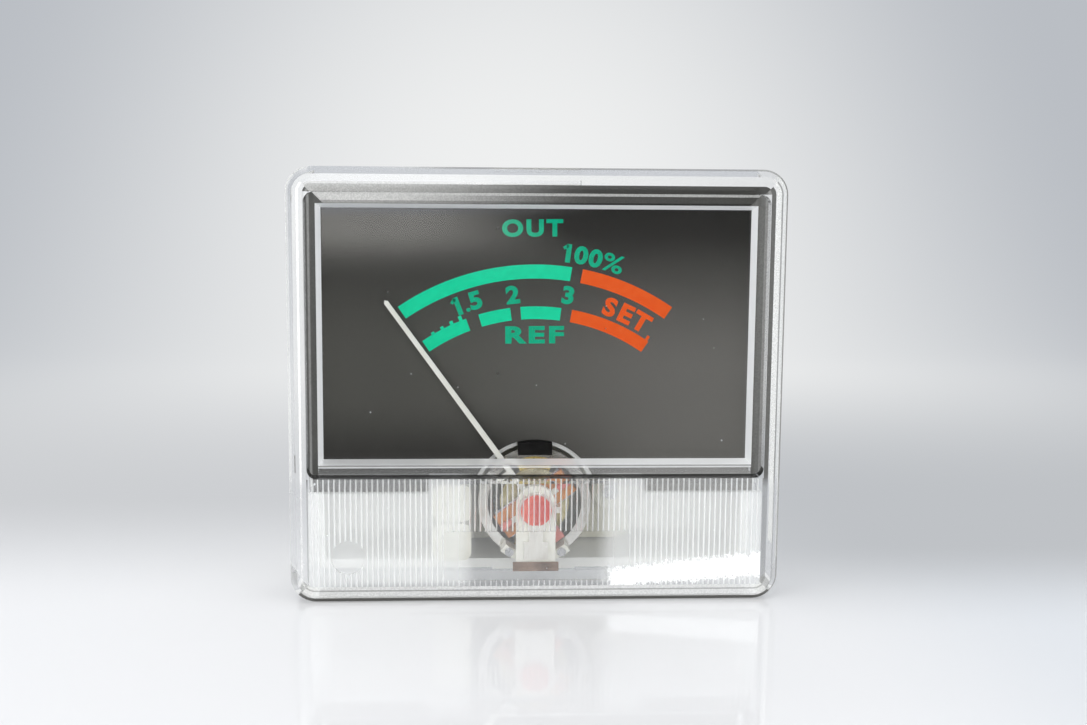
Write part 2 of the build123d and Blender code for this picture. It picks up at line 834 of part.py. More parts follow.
# Zero lever: a ring under the screw's head, a tab to turn it by and a finger back to the spring
finger_x = stud_x + finger_width / 2
with BuildPart() as zero_lever:
    with BuildSketch(on_axis(lever_back)):
        Circle(lever_ring_r)
        with Locations((0, (lever_tab_bottom - axis_z) / 2)):
            Rectangle(2 * lever_neck_half, axis_z - lever_tab_bottom)
        with Locations((0, (lever_tab_top + lever_tab_bottom) / 2 - axis_z)):
            Rectangle(2 * lever_tab_half, lever_tab_top - lever_tab_bottom)
        with Locations(((stud_x + finger_width) / 2, 0)):
            Rectangle(stud_x + finger_width, 2 * finger_half_height)
        Circle(screw_r + lever_bore_gap, mode=Mode.SUBTRACT)
    extrude(amount=lever_back - lever_front)
    with BuildSketch(on_axis(front_spring_back)):
        with Locations((finger_x, 0)):
            Rectangle(finger_width, 2 * finger_half_height)
    extrude(amount=front_spring_back - lever_back)
zero_lever.part.label = "zero_lever"

# Brass tag from the rear spring's stud to the positive terminal
tag_end = terminal_x + terminal_r
with BuildPart() as rear_spring_tag:
    with BuildSketch(on_axis(frame_back)):
        with Locations((finger_x, 0)):
            Rectangle(finger_width, 2 * finger_half_height)
    extrude(amount=frame_back - rear_spring_front)
    with BuildSketch(on_axis(tag_back)):
        with Locations(((stud_x + tag_end) / 2, 0)):
            Rectangle(tag_end - stud_x, 2 * tag_half_height)
    extrude(amount=tag_thickness)
rear_spring_tag.part.label = "rear_spring_tag"

# Contact strip: a lip under the tongue, a run along the floor and a riser to the terminal
riser_back = riser_y + strip_thickness
riser_left = terminal_x + riser_margin
riser_top = axis_z + riser_margin
with BuildPart() as front_contact_strip:
    with BuildSketch(across(lever_back)):
        with Locations((0, (strip_top + floor_z - strip_lip) / 2)):
            Rectangle(2 * strip_half_width, strip_top - floor_z + strip_lip)
    extrude(amount=strip_thickness)
    with BuildSketch(across(riser_back)):
        with Locations((0, floor_z + strip_thickness / 2)):
            Rectangle(2 * strip_run_half, strip_thickness)
    extrude(amount=riser_back - lever_back)
    with BuildSketch(across(riser_back)):
        Polygon(
            (-riser_left, floor_z),
            (strip_run_half, floor_z),
            (strip_run_half, floor_z + riser_height),
            (riser_width - riser_left, floor_z + riser_height),
            (riser_width - riser_left, riser_top),
            (-riser_left, riser_top),
            align=None,
        )
    extrude(amount=strip_thickness)
front_contact_strip.part.label = "front_contact_strip"

# Terminals: round pins with a collar seated on the housing's boss, and a square stem inside
collar_back = boss_outer + collar_height
pin_end = collar_back + terminal_reach
terminals = []
for label, x, inner_y in (
    ("positive_terminal", terminal_x, tag_back),
    ("negative_terminal", -terminal_x, riser_back),
):
    with BuildPart() as terminal:
        with BuildSketch(across(pin_end)):
            with Locations((x, axis_z)):
                Circle(terminal_r)
        extrude(amount=terminal_reach)
        with BuildSketch(across(collar_back)):
            with Locations((x, axis_z)):
                Circle(collar_r)
        extrude(amount=collar_height)
        with BuildSketch(across(boss_outer)):
            with Locations((x, axis_z)):
                Rectangle(terminal_stem_side, terminal_stem_side)
        extrude(amount=boss_outer - inner_y)
        chamfer(terminal.edges().group_by(Axis.Y)[-1], pin_tip_chamfer)
    terminal.part.label = label
    terminals.append(terminal)

# Lamp: a black holder plugged into the light box, its bulb and its two pins
with BuildPart() as lamp_holder:
    with BuildSketch(Plane.XY.offset(holder_bottom)):
        with Locations((0, holder_y)):
            Rectangle(2 * holder_half, 2 * holder_half)
    extrude(amount=holder_top - holder_bottom)
    # A shield that reaches out under the box and hangs over the top of the ring
    with BuildSketch(Plane.YZ):
        Polygon(
            (holder_y - holder_half, holder_bottom),
            (holder_y - holder_half, box_bottom - shield_gap),
            (flange_front, box_bottom - shield_gap),
            (flange_front, holder_bottom + shield_arm),
            (shield_front, holder_bottom + shield_arm),
            (shield_front, holder_bottom - shield_drop),
            (ring_front - shield_gap, holder_bottom - shield_drop),
            (ring_front - shield_gap, holder_bottom),
            align=None,
        )
    extrude(amount=shield_half, both=True)
    with BuildSketch(Plane.XY.offset(holder_top)):
        with Locations((0, holder_y)):
            Circle(bulb_r + screw_gap)
    extrude(amount=-bulb_seat, mode=Mode.SUBTRACT)
lamp_holder.part.label = "lamp_holder"

with BuildPart() as lamp_bulb:
    with BuildSketch(Plane.XY.offset(holder_top - bulb_seat)):
        with Locations((0, holder_y)):
            Circle(bulb_r)
    extrude(amount=bulb_length)
    chamfer(lamp_bulb.edges().group_by(Axis.Z)[-1], bulb_chamfer)
lamp_bulb.part.label = "lamp_bulb"

with BuildPart() as lamp_pins:
    with BuildSketch(across(collar_back + lamp_pin_reach)):
        with Locations((-lamp_pin_x, lamp_pin_z), (lamp_pin_x, lamp_pin_z)):
            Circle(lamp_pin_r)
    extrude(amount=lamp_pin_reach)
    with BuildSketch(across(collar_back)):
        with Locations((-lamp_pin_x, lamp_pin_z), (lamp_pin_x, lamp_pin_z)):
            Circle(lamp_collar_r)
    extrude(amount=collar_height)
    with BuildSketch(across(boss_outer)):
        with Locations((-lamp_pin_x, lamp_pin_z), (lamp_pin_x, lamp_pin_z)):
            Rectangle(lamp_stem_side, lamp_stem_side)
    extrude(amount=boss_outer - holder_y - holder_half)
lamp_pins.part.label = "lamp_pins"

# Frame screws, driven from behind through the housing's posts
frame_screw_end = frame_back - frame_screw_bite
with BuildPart() as frame_screws:
    with BuildSketch(across(housing_back + frame_screw_head)):
        with Locations((-frame_screw_x, axis_z), (frame_screw_x, axis_z)):
            Circle(frame_screw_head_r)
    extrude(amount=frame_screw_head)
    with BuildSketch(across(housing_back)):
        with Locations((-frame_screw_x, axis_z), (frame_screw_x, axis_z)):
            Circle(frame_screw_r)
    extrude(amount=housing_back - frame_screw_end)
    with BuildSketch(across(housing_back + frame_screw_head)):
        with Locations((-frame_screw_x, axis_z), (frame_screw_x, axis_z)):
            Rectangle(cross_slot_width, 2 * frame_screw_r)
            Rectangle(2 * frame_screw_r, cross_slot_width)
    extrude(amount=cross_slot_depth, mode=Mode.SUBTRACT)
frame_screws.part.label = "frame_screws"

pieces = (
    front_cover,
    rear_housing,
    dial_carrier,
    dial_plate,
    movement_frame,
    yoke_ring,
    core_magnet,
    core_supports,
    coil_former,
    coil_winding,
    front_pivot,
    rear_pivot,
    front_jewel,
    rear_jewel,
    front_jewel_screw,
    rear_jewel_screw,
    pointer,
    balance_weights,
    front_bridge,
    bridge_screws,
    front_hairspring,
    rear_hairspring,
    zero_lever,
    rear_spring_tag,
    front_contact_strip,
    *terminals,
    lamp_holder,
    lamp_bulb,
    lamp_pins,
    frame_screws,
)
os.makedirs("parts", exist_ok=True)
for piece in pieces:
    export_step(piece.part, f"parts/{piece.part.label}.step")
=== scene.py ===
import math
import bpy
import bmesh
from mathutils import Matrix, Vector


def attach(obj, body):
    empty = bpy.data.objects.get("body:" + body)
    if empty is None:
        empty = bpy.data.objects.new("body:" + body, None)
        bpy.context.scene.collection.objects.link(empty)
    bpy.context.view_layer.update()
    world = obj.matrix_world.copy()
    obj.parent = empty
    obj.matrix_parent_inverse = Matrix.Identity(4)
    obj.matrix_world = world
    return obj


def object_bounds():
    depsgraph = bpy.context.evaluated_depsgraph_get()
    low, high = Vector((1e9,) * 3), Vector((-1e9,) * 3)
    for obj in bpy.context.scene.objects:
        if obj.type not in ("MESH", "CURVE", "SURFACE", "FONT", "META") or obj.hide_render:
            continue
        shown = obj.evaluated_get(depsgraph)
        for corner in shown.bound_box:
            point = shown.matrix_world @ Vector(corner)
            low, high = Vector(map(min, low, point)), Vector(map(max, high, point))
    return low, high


# Panel meter with a clear ribbed cover. Metres, X right, Z up, the front faces -Y.
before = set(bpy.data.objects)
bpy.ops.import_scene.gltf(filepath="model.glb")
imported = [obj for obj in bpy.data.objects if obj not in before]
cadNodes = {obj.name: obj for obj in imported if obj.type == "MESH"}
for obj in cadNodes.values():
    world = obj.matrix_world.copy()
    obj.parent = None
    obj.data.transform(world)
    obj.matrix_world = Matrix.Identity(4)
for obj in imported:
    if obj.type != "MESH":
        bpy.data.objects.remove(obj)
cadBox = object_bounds()
mm = 0.001
print("frame loaded,", len(cadNodes), "nodes")

pivot = {"x": 0.0, "z": -14.06 * mm}  # the pointer's axis, along Y
floorHeight = cadBox[0][2]

# where the viewer stands, which way they look in degrees, and the lens
cameraLook = {
    "place": (-8.06 * mm, -162.55 * mm, 23.66 * mm), "down": 7.66, "right": 3.23, "roll": 0.48,
    "lens": 46.6, "sensor": 36, "near": 0.005, "far": 10,
}


def placeCamera(look):
    down, aside, roll = (math.radians(look[key]) for key in ("down", "right", "roll"))
    flat = math.cos(down)
    ahead = Vector((math.sin(aside) * flat, math.cos(aside) * flat, -math.sin(down)))
    level = Vector((math.cos(aside), -math.sin(aside), 0))
    upright = level.cross(ahead)
    rightward = math.cos(roll) * level + math.sin(roll) * upright
    upward = math.cos(roll) * upright - math.sin(roll) * level
    lens = bpy.data.cameras.new("meterCamera")
    lens.lens = look["lens"]
    lens.sensor_width = look["sensor"]
    lens.clip_start = look["near"]
    lens.clip_end = look["far"]
    camera = bpy.data.objects.new("meterCamera", lens)
    bpy.context.scene.collection.objects.link(camera)
    turn = Matrix((rightward, upward, -ahead)).transposed().to_4x4()
    camera.matrix_world = Matrix.Translation(look["place"]) @ turn
    bpy.context.scene.camera = camera


placeCamera(cameraLook)


# small helpers for building materials
def putNode(tree, kind, settings=None, values=None):
    node = tree.nodes.new(kind)
    for key, value in (settings or {}).items():
        setattr(node, key, value)
    for key, value in (values or {}).items():
        node.inputs[key].default_value = value
    return node


def feed(tree, socket, value):
    # a number or a tuple is set on the socket, an output is linked to it
    if isinstance(value, (tuple, float, int)):
        socket.default_value = value
    else:
        tree.links.new(value, socket)


def mixColours(tree, factor, first, second):
    blend = putNode(tree, "ShaderNodeMix", {"data_type": "RGBA"})
    for number, value in ((0, factor), (6, first), (7, second)):
        feed(tree, blend.inputs[number], value)
    return blend.outputs[2]


def mixShaders(tree, factor, first, second):
    blend = putNode(tree, "ShaderNodeMixShader")
    for socket, value in zip(blend.inputs, (factor, first, second)):
        feed(tree, socket, value)
    return blend.outputs[0]


def doMath(tree, operation, first, second=0.0, third=0.0):
    node = putNode(tree, "ShaderNodeMath", {"operation": operation})
    for socket, value in zip(node.inputs, (first, second, third)):
        feed(tree, socket, value)
    return node.outputs[0]


def doVector(tree, operation, first, second=(0.0, 0.0, 0.0)):
    node = putNode(tree, "ShaderNodeVectorMath", {"operation": operation})
    for socket, value in zip(node.inputs, (first, second)):
        feed(tree, socket, value)
    return node.outputs["Value" if operation == "LENGTH" else "Vector"]


def rangeOf(tree, value, fromLow, fromHigh, toLow=0.0, toHigh=1.0, smooth=True):
    kind = "SMOOTHSTEP" if smooth else "LINEAR"
    node = putNode(tree, "ShaderNodeMapRange", {"interpolation_type": kind})
    for socket, item in zip(node.inputs, (value, fromLow, fromHigh, toLow, toHigh)):
        feed(tree, socket, item)
    return node.outputs[0]


def blendValues(tree, factor, first, second):
    gap = doMath(tree, "SUBTRACT", second, first)
    return doMath(tree, "MULTIPLY_ADD", factor, gap, first)


def within(tree, value, low, high):
    # 1 between the two numbers, 0 elsewhere
    above = doMath(tree, "GREATER_THAN", value, low)
    return doMath(tree, "MULTIPLY", above, doMath(tree, "LESS_THAN", value, high))


def objectPlace(tree):
    return putNode(tree, "ShaderNodeTexCoord").outputs["Object"]


def splitAxes(tree, vector):
    parts = putNode(tree, "ShaderNodeSeparateXYZ")
    tree.links.new(vector, parts.inputs[0])
    return tuple(parts.outputs)


def addNoise(tree, place, scale, detail=2.0, rough=0.5):
    noise = putNode(tree, "ShaderNodeTexNoise", None, {"Detail": detail, "Roughness": rough})
    tree.links.new(place, noise.inputs["Vector"])
    feed(tree, noise.inputs["Scale"], scale)
    return noise.outputs["Fac"]


def addBump(tree, shader, height, strength, depth):
    bump = putNode(tree, "ShaderNodeBump", None, {"Strength": strength, "Distance": depth})
    tree.links.new(height, bump.inputs["Height"])
    tree.links.new(bump.outputs["Normal"], shader.inputs["Normal"])


# effects that several finishes share; a socket's kind goes by the length of its value
socketKinds = {1: "NodeSocketFloat", 3: "NodeSocketVector", 4: "NodeSocketColor"}
skinOutputs = {"Color": socketKinds[4], "Roughness": socketKinds[1], "Height": socketKinds[1]}


def startGroup(name, inputs, outputs):
    group = bpy.data.node_groups.new(name, "ShaderNodeTree")
    for label, default in inputs.items():
        kind = socketKinds[len(default) if isinstance(default, tuple) else 1]
        socket = group.interface.new_socket(label, in_out="INPUT", socket_type=kind)
        socket.default_value = default
    for label, kind in outputs.items():
        group.interface.new_socket(label, in_out="OUTPUT", socket_type=kind)
    source, result = (group.nodes.new(kind) for kind in ("NodeGroupInput", "NodeGroupOutput"))
    return group, source.outputs, result.inputs


def endSkin(group, source, result, colour, worn, height):
    rough = rangeOf(group, worn, 0.0, 1.0, source["Rough Low"], source["Rough High"], False)
    for label, value in (("Color", colour), ("Roughness", rough), ("Height", height)):
        group.links.new(value, result[label])
    return group


def makeGrainGroup():
    # cloudy colour and a fine bumpy skin, for mouldings, lacquer and sintered stuff
    group, source, result = startGroup("skinGrain", {
        "Pale": (0.8, 0.8, 0.8, 1.0), "Deep": (0.7, 0.7, 0.7, 1.0),
        "Cloud Scale": 150.0, "Grain Scale": 4000.0, "Rough Low": 0.3, "Rough High": 0.5,
    }, skinOutputs)
    place = objectPlace(group)
    clouds = addNoise(group, place, source["Cloud Scale"], 4.0, 0.6)
    grain = addNoise(group, place, source["Grain Scale"])
    patch = rangeOf(group, clouds, 0.35, 0.65)
    colour = mixColours(group, patch, source["Pale"], source["Deep"])
    speckle = rangeOf(group, grain, 0.3, 0.7)
    worn = doMath(group, "MULTIPLY_ADD", speckle, 0.5, doMath(group, "MULTIPLY", patch, 0.5))
    return endSkin(group, source, result, colour, worn, grain)


def makeStreakGroup():
    # drawn or brushed metal: noise stretched along one way
    group, source, result = startGroup("drawnMetal", {
        "Bright": (0.8, 0.8, 0.8, 1.0), "Dull": (0.5, 0.5, 0.5, 1.0), "Stretch": (1.0, 1.0, 1.0),
        "Rough Low": 0.15, "Rough High": 0.4,
    }, skinOutputs)
    place = objectPlace(group)
    stretched = doVector(group, "MULTIPLY", place, source["Stretch"])
    streaks = addNoise(group, stretched, 1.0, 3.0, 0.6)
    line = rangeOf(group, streaks, 0.3, 0.7)
    stain = rangeOf(group, addNoise(group, place, 420.0, 3.0), 0.45, 0.7)
    worn = doMath(group, "MULTIPLY_ADD", line, 0.45, doMath(group, "MULTIPLY", stain, 0.55))
    colour = mixColours(group, worn, source["Bright"], source["Dull"])
    return endSkin(group, source, result, colour, worn, streaks)


def makeRingsGroup():
    # lathe marks round an axis along Y, given by its place
    group, source, result = startGroup("latheRings", {
        "Bright": (0.8, 0.8, 0.8, 1.0), "Dull": (0.5, 0.5, 0.5, 1.0), "Centre": (0.0, 0.0, 0.0),
        "Rings Scale": 9000.0, "Rough Low": 0.12, "Rough High": 0.35,
    }, skinOutputs)
    place = objectPlace(group)
    apart = doVector(group, "SUBTRACT", place, source["Centre"])
    reach = doVector(group, "LENGTH", doVector(group, "MULTIPLY", apart, (1.0, 0.0, 1.0)))
    along = doMath(group, "ADD", reach, splitAxes(group, apart)[1])
    marks = putNode(group, "ShaderNodeTexNoise", {"noise_dimensions": "1D"}, {"Scale": 1.0})
    group.links.new(doMath(group, "MULTIPLY", along, source["Rings Scale"]), marks.inputs["W"])
    stain = rangeOf(group, addNoise(group, place, 350.0, 4.0), 0.45, 0.7, 0.0, 0.6)
    worn = doMath(group, "MULTIPLY_ADD", marks.outputs["Fac"], 0.4, stain)
    colour = mixColours(group, worn, source["Bright"], source["Dull"])
    return endSkin(group, source, result, colour, worn, marks.outputs["Fac"])


def makeDustGroup():
    # scattered pale specks: 1 on a speck, 0 elsewhere
    inputs = {"Speck Scale": 700.0, "Speck Size": 0.12, "Share": 0.2}
    group, source, result = startGroup("dustSpecks", inputs, {"Mask": socketKinds[1]})
    specks = putNode(group, "ShaderNodeTexVoronoi", {"feature": "F1"})
    group.links.new(objectPlace(group), specks.inputs["Vector"])
    group.links.new(source["Speck Scale"], specks.inputs["Scale"])
    near = doMath(group, "LESS_THAN", specks.outputs["Distance"], source["Speck Size"])
    pick = putNode(group, "ShaderNodeSeparateColor")
    group.links.new(specks.outputs["Color"], pick.inputs[0])
    chosen = doMath(group, "LESS_THAN", pick.outputs[0], source["Share"])
    group.links.new(doMath(group, "MULTIPLY", near, chosen), result["Mask"])
    return group


grainGroup = makeGrainGroup()
streakGroup = makeStreakGroup()
ringsGroup = makeRingsGroup()
dustGroup = makeDustGroup()


def placeGroup(tree, group, values):
    node = putNode(tree, "ShaderNodeGroup", {"node_tree": group})
    for key, value in values.items():
        node.inputs[key].default_value = value
    return node


def startFinish(name, shaderLook):
    finish = bpy.data.materials.new(name)
    finish.use_nodes = True
    tree = finish.node_tree
    shader = tree.nodes["Principled BSDF"]
    for key, value in shaderLook.items():
        shader.inputs[key].default_value = value
    return finish, tree, shader


def wireFinish(tree, shader, effect, bumpDepth):
    tree.links.new(effect.outputs["Color"], shader.inputs["Base Color"])
    tree.links.new(effect.outputs["Roughness"], shader.inputs["Roughness"])
    addBump(tree, shader, effect.outputs["Height"], 0.4, bumpDepth)


def dress(nodeNames, finish):
    for nodeName in nodeNames:
        piece = cadNodes[nodeName]
        if not piece.material_slots:
            piece.data.materials.append(finish)
        for slot in piece.material_slots:
            slot.material = finish


def rgb(red, green, blue):
    # linear colour from the 0-255 numbers of a picture
    shades = [c / 255 for c in (red, green, blue)]
    linear = [((c + 0.055) / 1.055) ** 2.4 if c > 0.04 else c / 12.92 for c in shades]
    return (*linear, 1.0)


# mouldings, lacquer and sintered stuff
grainLooks = {
    "housingWhite": {
        "nodes": ["rear_housing"],
        "pale": rgb(243, 243, 238), "deep": rgb(239, 239, 234), "cloud": 90.0, "grain": 2600.0,
        "rough": (0.38, 0.55), "bump": 0.03 * mm, "shader": {},
    },
    "carrierWhite": {
        "nodes": ["dial_carrier"],
        "pale": rgb(246, 246, 242), "deep": rgb(236, 236, 230), "cloud": 120.0, "grain": 3500.0,
        "rough": (0.3, 0.45), "bump": 0.02 * mm, "shader": {},
    },
    "frameWhite": {
        "nodes": ["movement_frame"],
        "pale": rgb(226, 225, 208), "deep": rgb(204, 201, 180), "cloud": 260.0, "grain": 3500.0,
        "rough": (0.35, 0.5), "bump": 0.02 * mm, "shader": {},
    },
    "tongueWhite": {
        "nodes": ["front_bridge"],
        "pale": rgb(253, 252, 242), "deep": rgb(244, 241, 226), "cloud": 300.0, "grain": 4000.0,
        "rough": (0.3, 0.45), "bump": 0.02 * mm, "shader": {},
    },
    "magnetGilt": {
        "nodes": ["core_magnet"],
        "pale": rgb(238, 228, 186), "deep": rgb(192, 176, 114), "cloud": 500.0, "grain": 5000.0,
        "rough": (0.25, 0.45), "bump": 0.03 * mm, "shader": {"Metallic": 1.0},
    },
    "screwRed": {
        "nodes": ["front_jewel_screw"],
        "pale": rgb(238, 98, 74), "deep": rgb(208, 56, 46), "cloud": 500.0, "grain": 1800.0,
        "rough": (0.16, 0.34), "bump": 0.05 * mm,
        "shader": {"Coat Weight": 0.5, "Coat Roughness": 0.08},
    },
    "weightLacquer": {
        "nodes": ["balance_weights"],
        "pale": rgb(226, 132, 118), "deep": rgb(196, 92, 84), "cloud": 700.0, "grain": 3000.0,
        "rough": (0.2, 0.4), "bump": 0.05 * mm, "shader": {"Coat Weight": 0.4},
    },
    "pointerCream": {
        "nodes": ["pointer"],
        "pale": rgb(255, 254, 246), "deep": rgb(248, 246, 234), "cloud": 300.0, "grain": 5000.0,
        "rough": (0.4, 0.6), "bump": 0.01 * mm, "shader": {},
    },
    "holderBlack": {
        "nodes": ["lamp_holder"],
        "pale": rgb(18, 17, 17), "deep": rgb(8, 8, 8), "cloud": 600.0, "grain": 4000.0,
        "rough": (0.45, 0.7), "bump": 0.04 * mm, "shader": {"Specular IOR Level": 0.2},
    },
}


def makeGrainFinish(name, look):
    finish, tree, shader = startFinish(name, look["shader"])
    effect = placeGroup(tree, grainGroup, {
        "Pale": look["pale"], "Deep": look["deep"],
        "Cloud Scale": look["cloud"], "Grain Scale": look["grain"],
        "Rough Low": look["rough"][0], "Rough High": look["rough"][1],
    })
    wireFinish(tree, shader, effect, look["bump"])
    dress(look["nodes"], finish)


for name, look in grainLooks.items():
    makeGrainFinish(name, look)
print("moulded and lacquered finishes made")


# drawn, turned and stamped metal
streakBump = 0.02 * mm
streakLooks = {
    "formerAluminium": {
        "nodes": ["coil_former"],
        "bright": rgb(226, 227, 230), "dull": rgb(170, 172, 176),
        "stretch": (4000.0, 300.0, 4000.0), "rough": (0.2, 0.4), "shader": {"Metallic": 1.0},
    },
    "supportBrass": {
        "nodes": ["core_supports", "rear_spring_tag"],
        "bright": rgb(250, 226, 128), "dull": rgb(204, 164, 70),
        "stretch": (3000.0, 200.0, 3000.0), "rough": (0.25, 0.45), "shader": {"Metallic": 0.7},
    },
    "springBronze": {
        "nodes": ["front_hairspring", "rear_hairspring"],
        "bright": rgb(226, 184, 128), "dull": rgb(160, 112, 66),
        "stretch": (2500.0, 2500.0, 2500.0), "rough": (0.2, 0.35), "shader": {"Metallic": 1.0},
    },
    "leverNickel": {
        "nodes": ["zero_lever"],
        "bright": rgb(244, 242, 234), "dull": rgb(214, 208, 196),
        "stretch": (6000.0, 300.0, 500.0), "rough": (0.3, 0.5), "shader": {"Metallic": 0.6},
    },
    "stripBronze": {
        "nodes": ["front_contact_strip"],
        "bright": rgb(168, 140, 120), "dull": rgb(110, 88, 76),
        "stretch": (400.0, 400.0, 5000.0), "rough": (0.25, 0.5), "shader": {"Metallic": 1.0},
    },
    "pinTin": {
        "nodes": ["positive_terminal", "negative_terminal", "lamp_pins"],
        "bright": rgb(224, 224, 220), "dull": rgb(172, 168, 156),
        "stretch": (3500.0, 250.0, 3500.0), "rough": (0.18, 0.42), "shader": {"Metallic": 1.0},
    },
    "screwSteel": {
        "nodes": ["bridge_screws", "frame_screws"],
        "bright": rgb(206, 206, 206), "dull": rgb(140, 140, 142),
        "stretch": (2500.0, 2500.0, 2500.0), "rough": (0.2, 0.42), "shader": {"Metallic": 1.0},
    },
    "pivotSteel": {
        "nodes": ["front_pivot", "rear_pivot"],
        "bright": rgb(216, 218, 222), "dull": rgb(150, 152, 158),
        "stretch": (500.0, 6000.0, 500.0), "rough": (0.08, 0.25), "shader": {"Metallic": 1.0},
    },
    "screwBrass": {
        "nodes": ["rear_jewel_screw"],
        "bright": rgb(228, 196, 118), "dull": rgb(170, 130, 66),
        "stretch": (300.0, 5000.0, 300.0), "rough": (0.18, 0.4), "shader": {"Metallic": 1.0},
    },
}


def makeStreakFinish(name, look):
    finish, tree, shader = startFinish(name, look["shader"])
    effect = placeGroup(tree, streakGroup, {
        "Bright": look["bright"], "Dull": look["dull"], "Stretch": look["stretch"],
        "Rough Low": look["rough"][0], "Rough High": look["rough"][1],
    })
    wireFinish(tree, shader, effect, streakBump)
    dress(look["nodes"], finish)


for name, look in streakLooks.items():
    makeStreakFinish(name, look)


# the yoke ring's lathe marks
ringLook = {
    "bright": rgb(232, 230, 224), "dull": rgb(178, 170, 156), "rings": 9000.0, "rough": (0.1, 0.32),
    "bump": 0.02 * mm,
}


def makeYokeFinish(look):
    finish, tree, shader = startFinish("yokeNickel", {"Metallic": 1.0})
    effect = placeGroup(tree, ringsGroup, {
        "Bright": look["bright"], "Dull": look["dull"], "Centre": (pivot["x"], 0.0, pivot["z"]),
        "Rings Scale": look["rings"], "Rough Low": look["rough"][0], "Rough High": look["rough"][1],
    })
    wireFinish(tree, shader, effect, look["bump"])
    dress(["yoke_ring"], finish)


makeYokeFinish(ringLook)


# enamelled wire: turns side by side across the coil's width, which is tilted with the pointer; each
# crest is painted lighter and each groove between turns has painted shade
windingLook = {
    "litCrest": rgb(255, 186, 92), "shadedGroove": rgb(206, 96, 34), "rough": (0.45, 0.22),
    "turnWidth": 0.1 * mm, "tilt": -36.0, "wander": 0.06 * mm, "bump": 0.04 * mm,
}


def makeWindingFinish(look):
    finish, tree, shader = startFinish("wireCopper", {
        "Metallic": 0.7, "Coat Weight": 0.4, "Coat Roughness": 0.1,
    })
    place = objectPlace(tree)
    turned = putNode(tree, "ShaderNodeMapping", {"vector_type": "TEXTURE"}, {
        "Location": (pivot["x"], 0.0, pivot["z"]),
        "Rotation": (0.0, math.radians(look["tilt"]), 0.0),
    })
    tree.links.new(place, turned.inputs["Vector"])
    upCoil = splitAxes(tree, turned.outputs[0])[2]
    shifted = doMath(tree, "MULTIPLY_ADD", addNoise(tree, place, 300.0), look["wander"], upCoil)
    wave = doMath(tree, "SINE", doMath(tree, "MULTIPLY", shifted, 2 * math.pi / look["turnWidth"]))
    height = doMath(tree, "MULTIPLY_ADD", wave, 0.5, 0.5)
    # painted highlight on the crests, painted shade in the grooves
    colour = mixColours(tree, height, look["shadedGroove"], look["litCrest"])
    tree.links.new(colour, shader.inputs["Base Color"])
    tree.links.new(rangeOf(tree, height, 0.0, 1.0, *look["rough"]), shader.inputs["Roughness"])
    addBump(tree, shader, height, 0.6, look["bump"])
    dress(["coil_winding"], finish)


makeWindingFinish(windingLook)


# clear stones and the lamp's envelope
stoneLooks = {
    "jewelRuby": {
        "nodes": ["front_jewel", "rear_jewel"],
        "pale": rgb(236, 92, 120), "deep": rgb(206, 52, 88), "ior": 1.76, "rough": (0.02, 0.08),
    },
    "bulbGlass": {
        "nodes": ["lamp_bulb"],
        "pale": rgb(250, 250, 246), "deep": rgb(240, 238, 228), "ior": 1.5, "rough": (0.02, 0.1),
    },
}


def makeStoneFinish(name, look):
    finish, tree, shader = startFinish(name, {"Transmission Weight": 1.0, "IOR": look["ior"]})
    effect = placeGroup(tree, grainGroup, {
        "Pale": look["pale"], "Deep": look["deep"], "Cloud Scale": 800.0, "Grain Scale": 3000.0,
        "Rough Low": look["rough"][0], "Rough High": look["rough"][1],
    })
    tree.links.new(effect.outputs["Color"], shader.inputs["Base Color"])
    tree.links.new(effect.outputs["Roughness"], shader.inputs["Roughness"])
    dress(look["nodes"], finish)


for name, look in stoneLooks.items():
    makeStoneFinish(name, look)
print("metal, wire and stone finishes made")


# smoked dial, with painted light in its colour: the lit diffuser behind shows through, more to the
# right and below
dialLook = {
    "smoke": rgb(54, 53, 50), "deep": rgb(49, 48, 46), "dust": rgb(200, 204, 204),
    "thin": (rgb(84, 83, 78), rgb(115, 113, 108)), "sides": (-20 * mm, 22 * mm),
    "fade": (18.5 * mm, 1.0 * mm),
    # painted shade: its foot is darker, most at the left
    "foot": (-8.5 * mm, -1.5 * mm), "dark": (-6 * mm, 14 * mm), "darkest": 0.25,
}


def makeDialFinish(look):
    finish, tree, shader = startFinish("dialSmoke", {"IOR": 1.45, "Specular IOR Level": 0.15})
    side, _, height = splitAxes(tree, objectPlace(tree))
    # painted light: lighter smoke to the right and below, dimmed by painted shade at the foot
    thin = mixColours(tree, rangeOf(tree, side, *look["sides"]), *look["thin"])
    lit = rangeOf(tree, height, *look["fade"])
    foot = rangeOf(tree, side, *look["dark"], look["darkest"], 1.0)
    lit = doMath(tree, "MULTIPLY", lit, rangeOf(tree, height, *look["foot"], foot, 1.0))
    effect = placeGroup(tree, grainGroup, {
        "Pale": look["smoke"], "Deep": look["deep"], "Cloud Scale": 45.0, "Grain Scale": 6000.0,
        "Rough Low": 0.42, "Rough High": 0.52,
    })
    dust = placeGroup(tree, dustGroup, {"Speck Scale": 420.0, "Speck Size": 0.05, "Share": 0.12})
    colour = mixColours(tree, lit, effect.outputs["Color"], thin)
    colour = mixColours(tree, dust.outputs["Mask"], colour, look["dust"])
    tree.links.new(colour, shader.inputs["Base Color"])
    tree.links.new(effect.outputs["Roughness"], shader.inputs["Roughness"])
    addBump(tree, shader, effect.outputs["Height"], 0.06, 0.01 * mm)
    dress(["dial_plate"], finish)


makeDialFinish(dialLook)


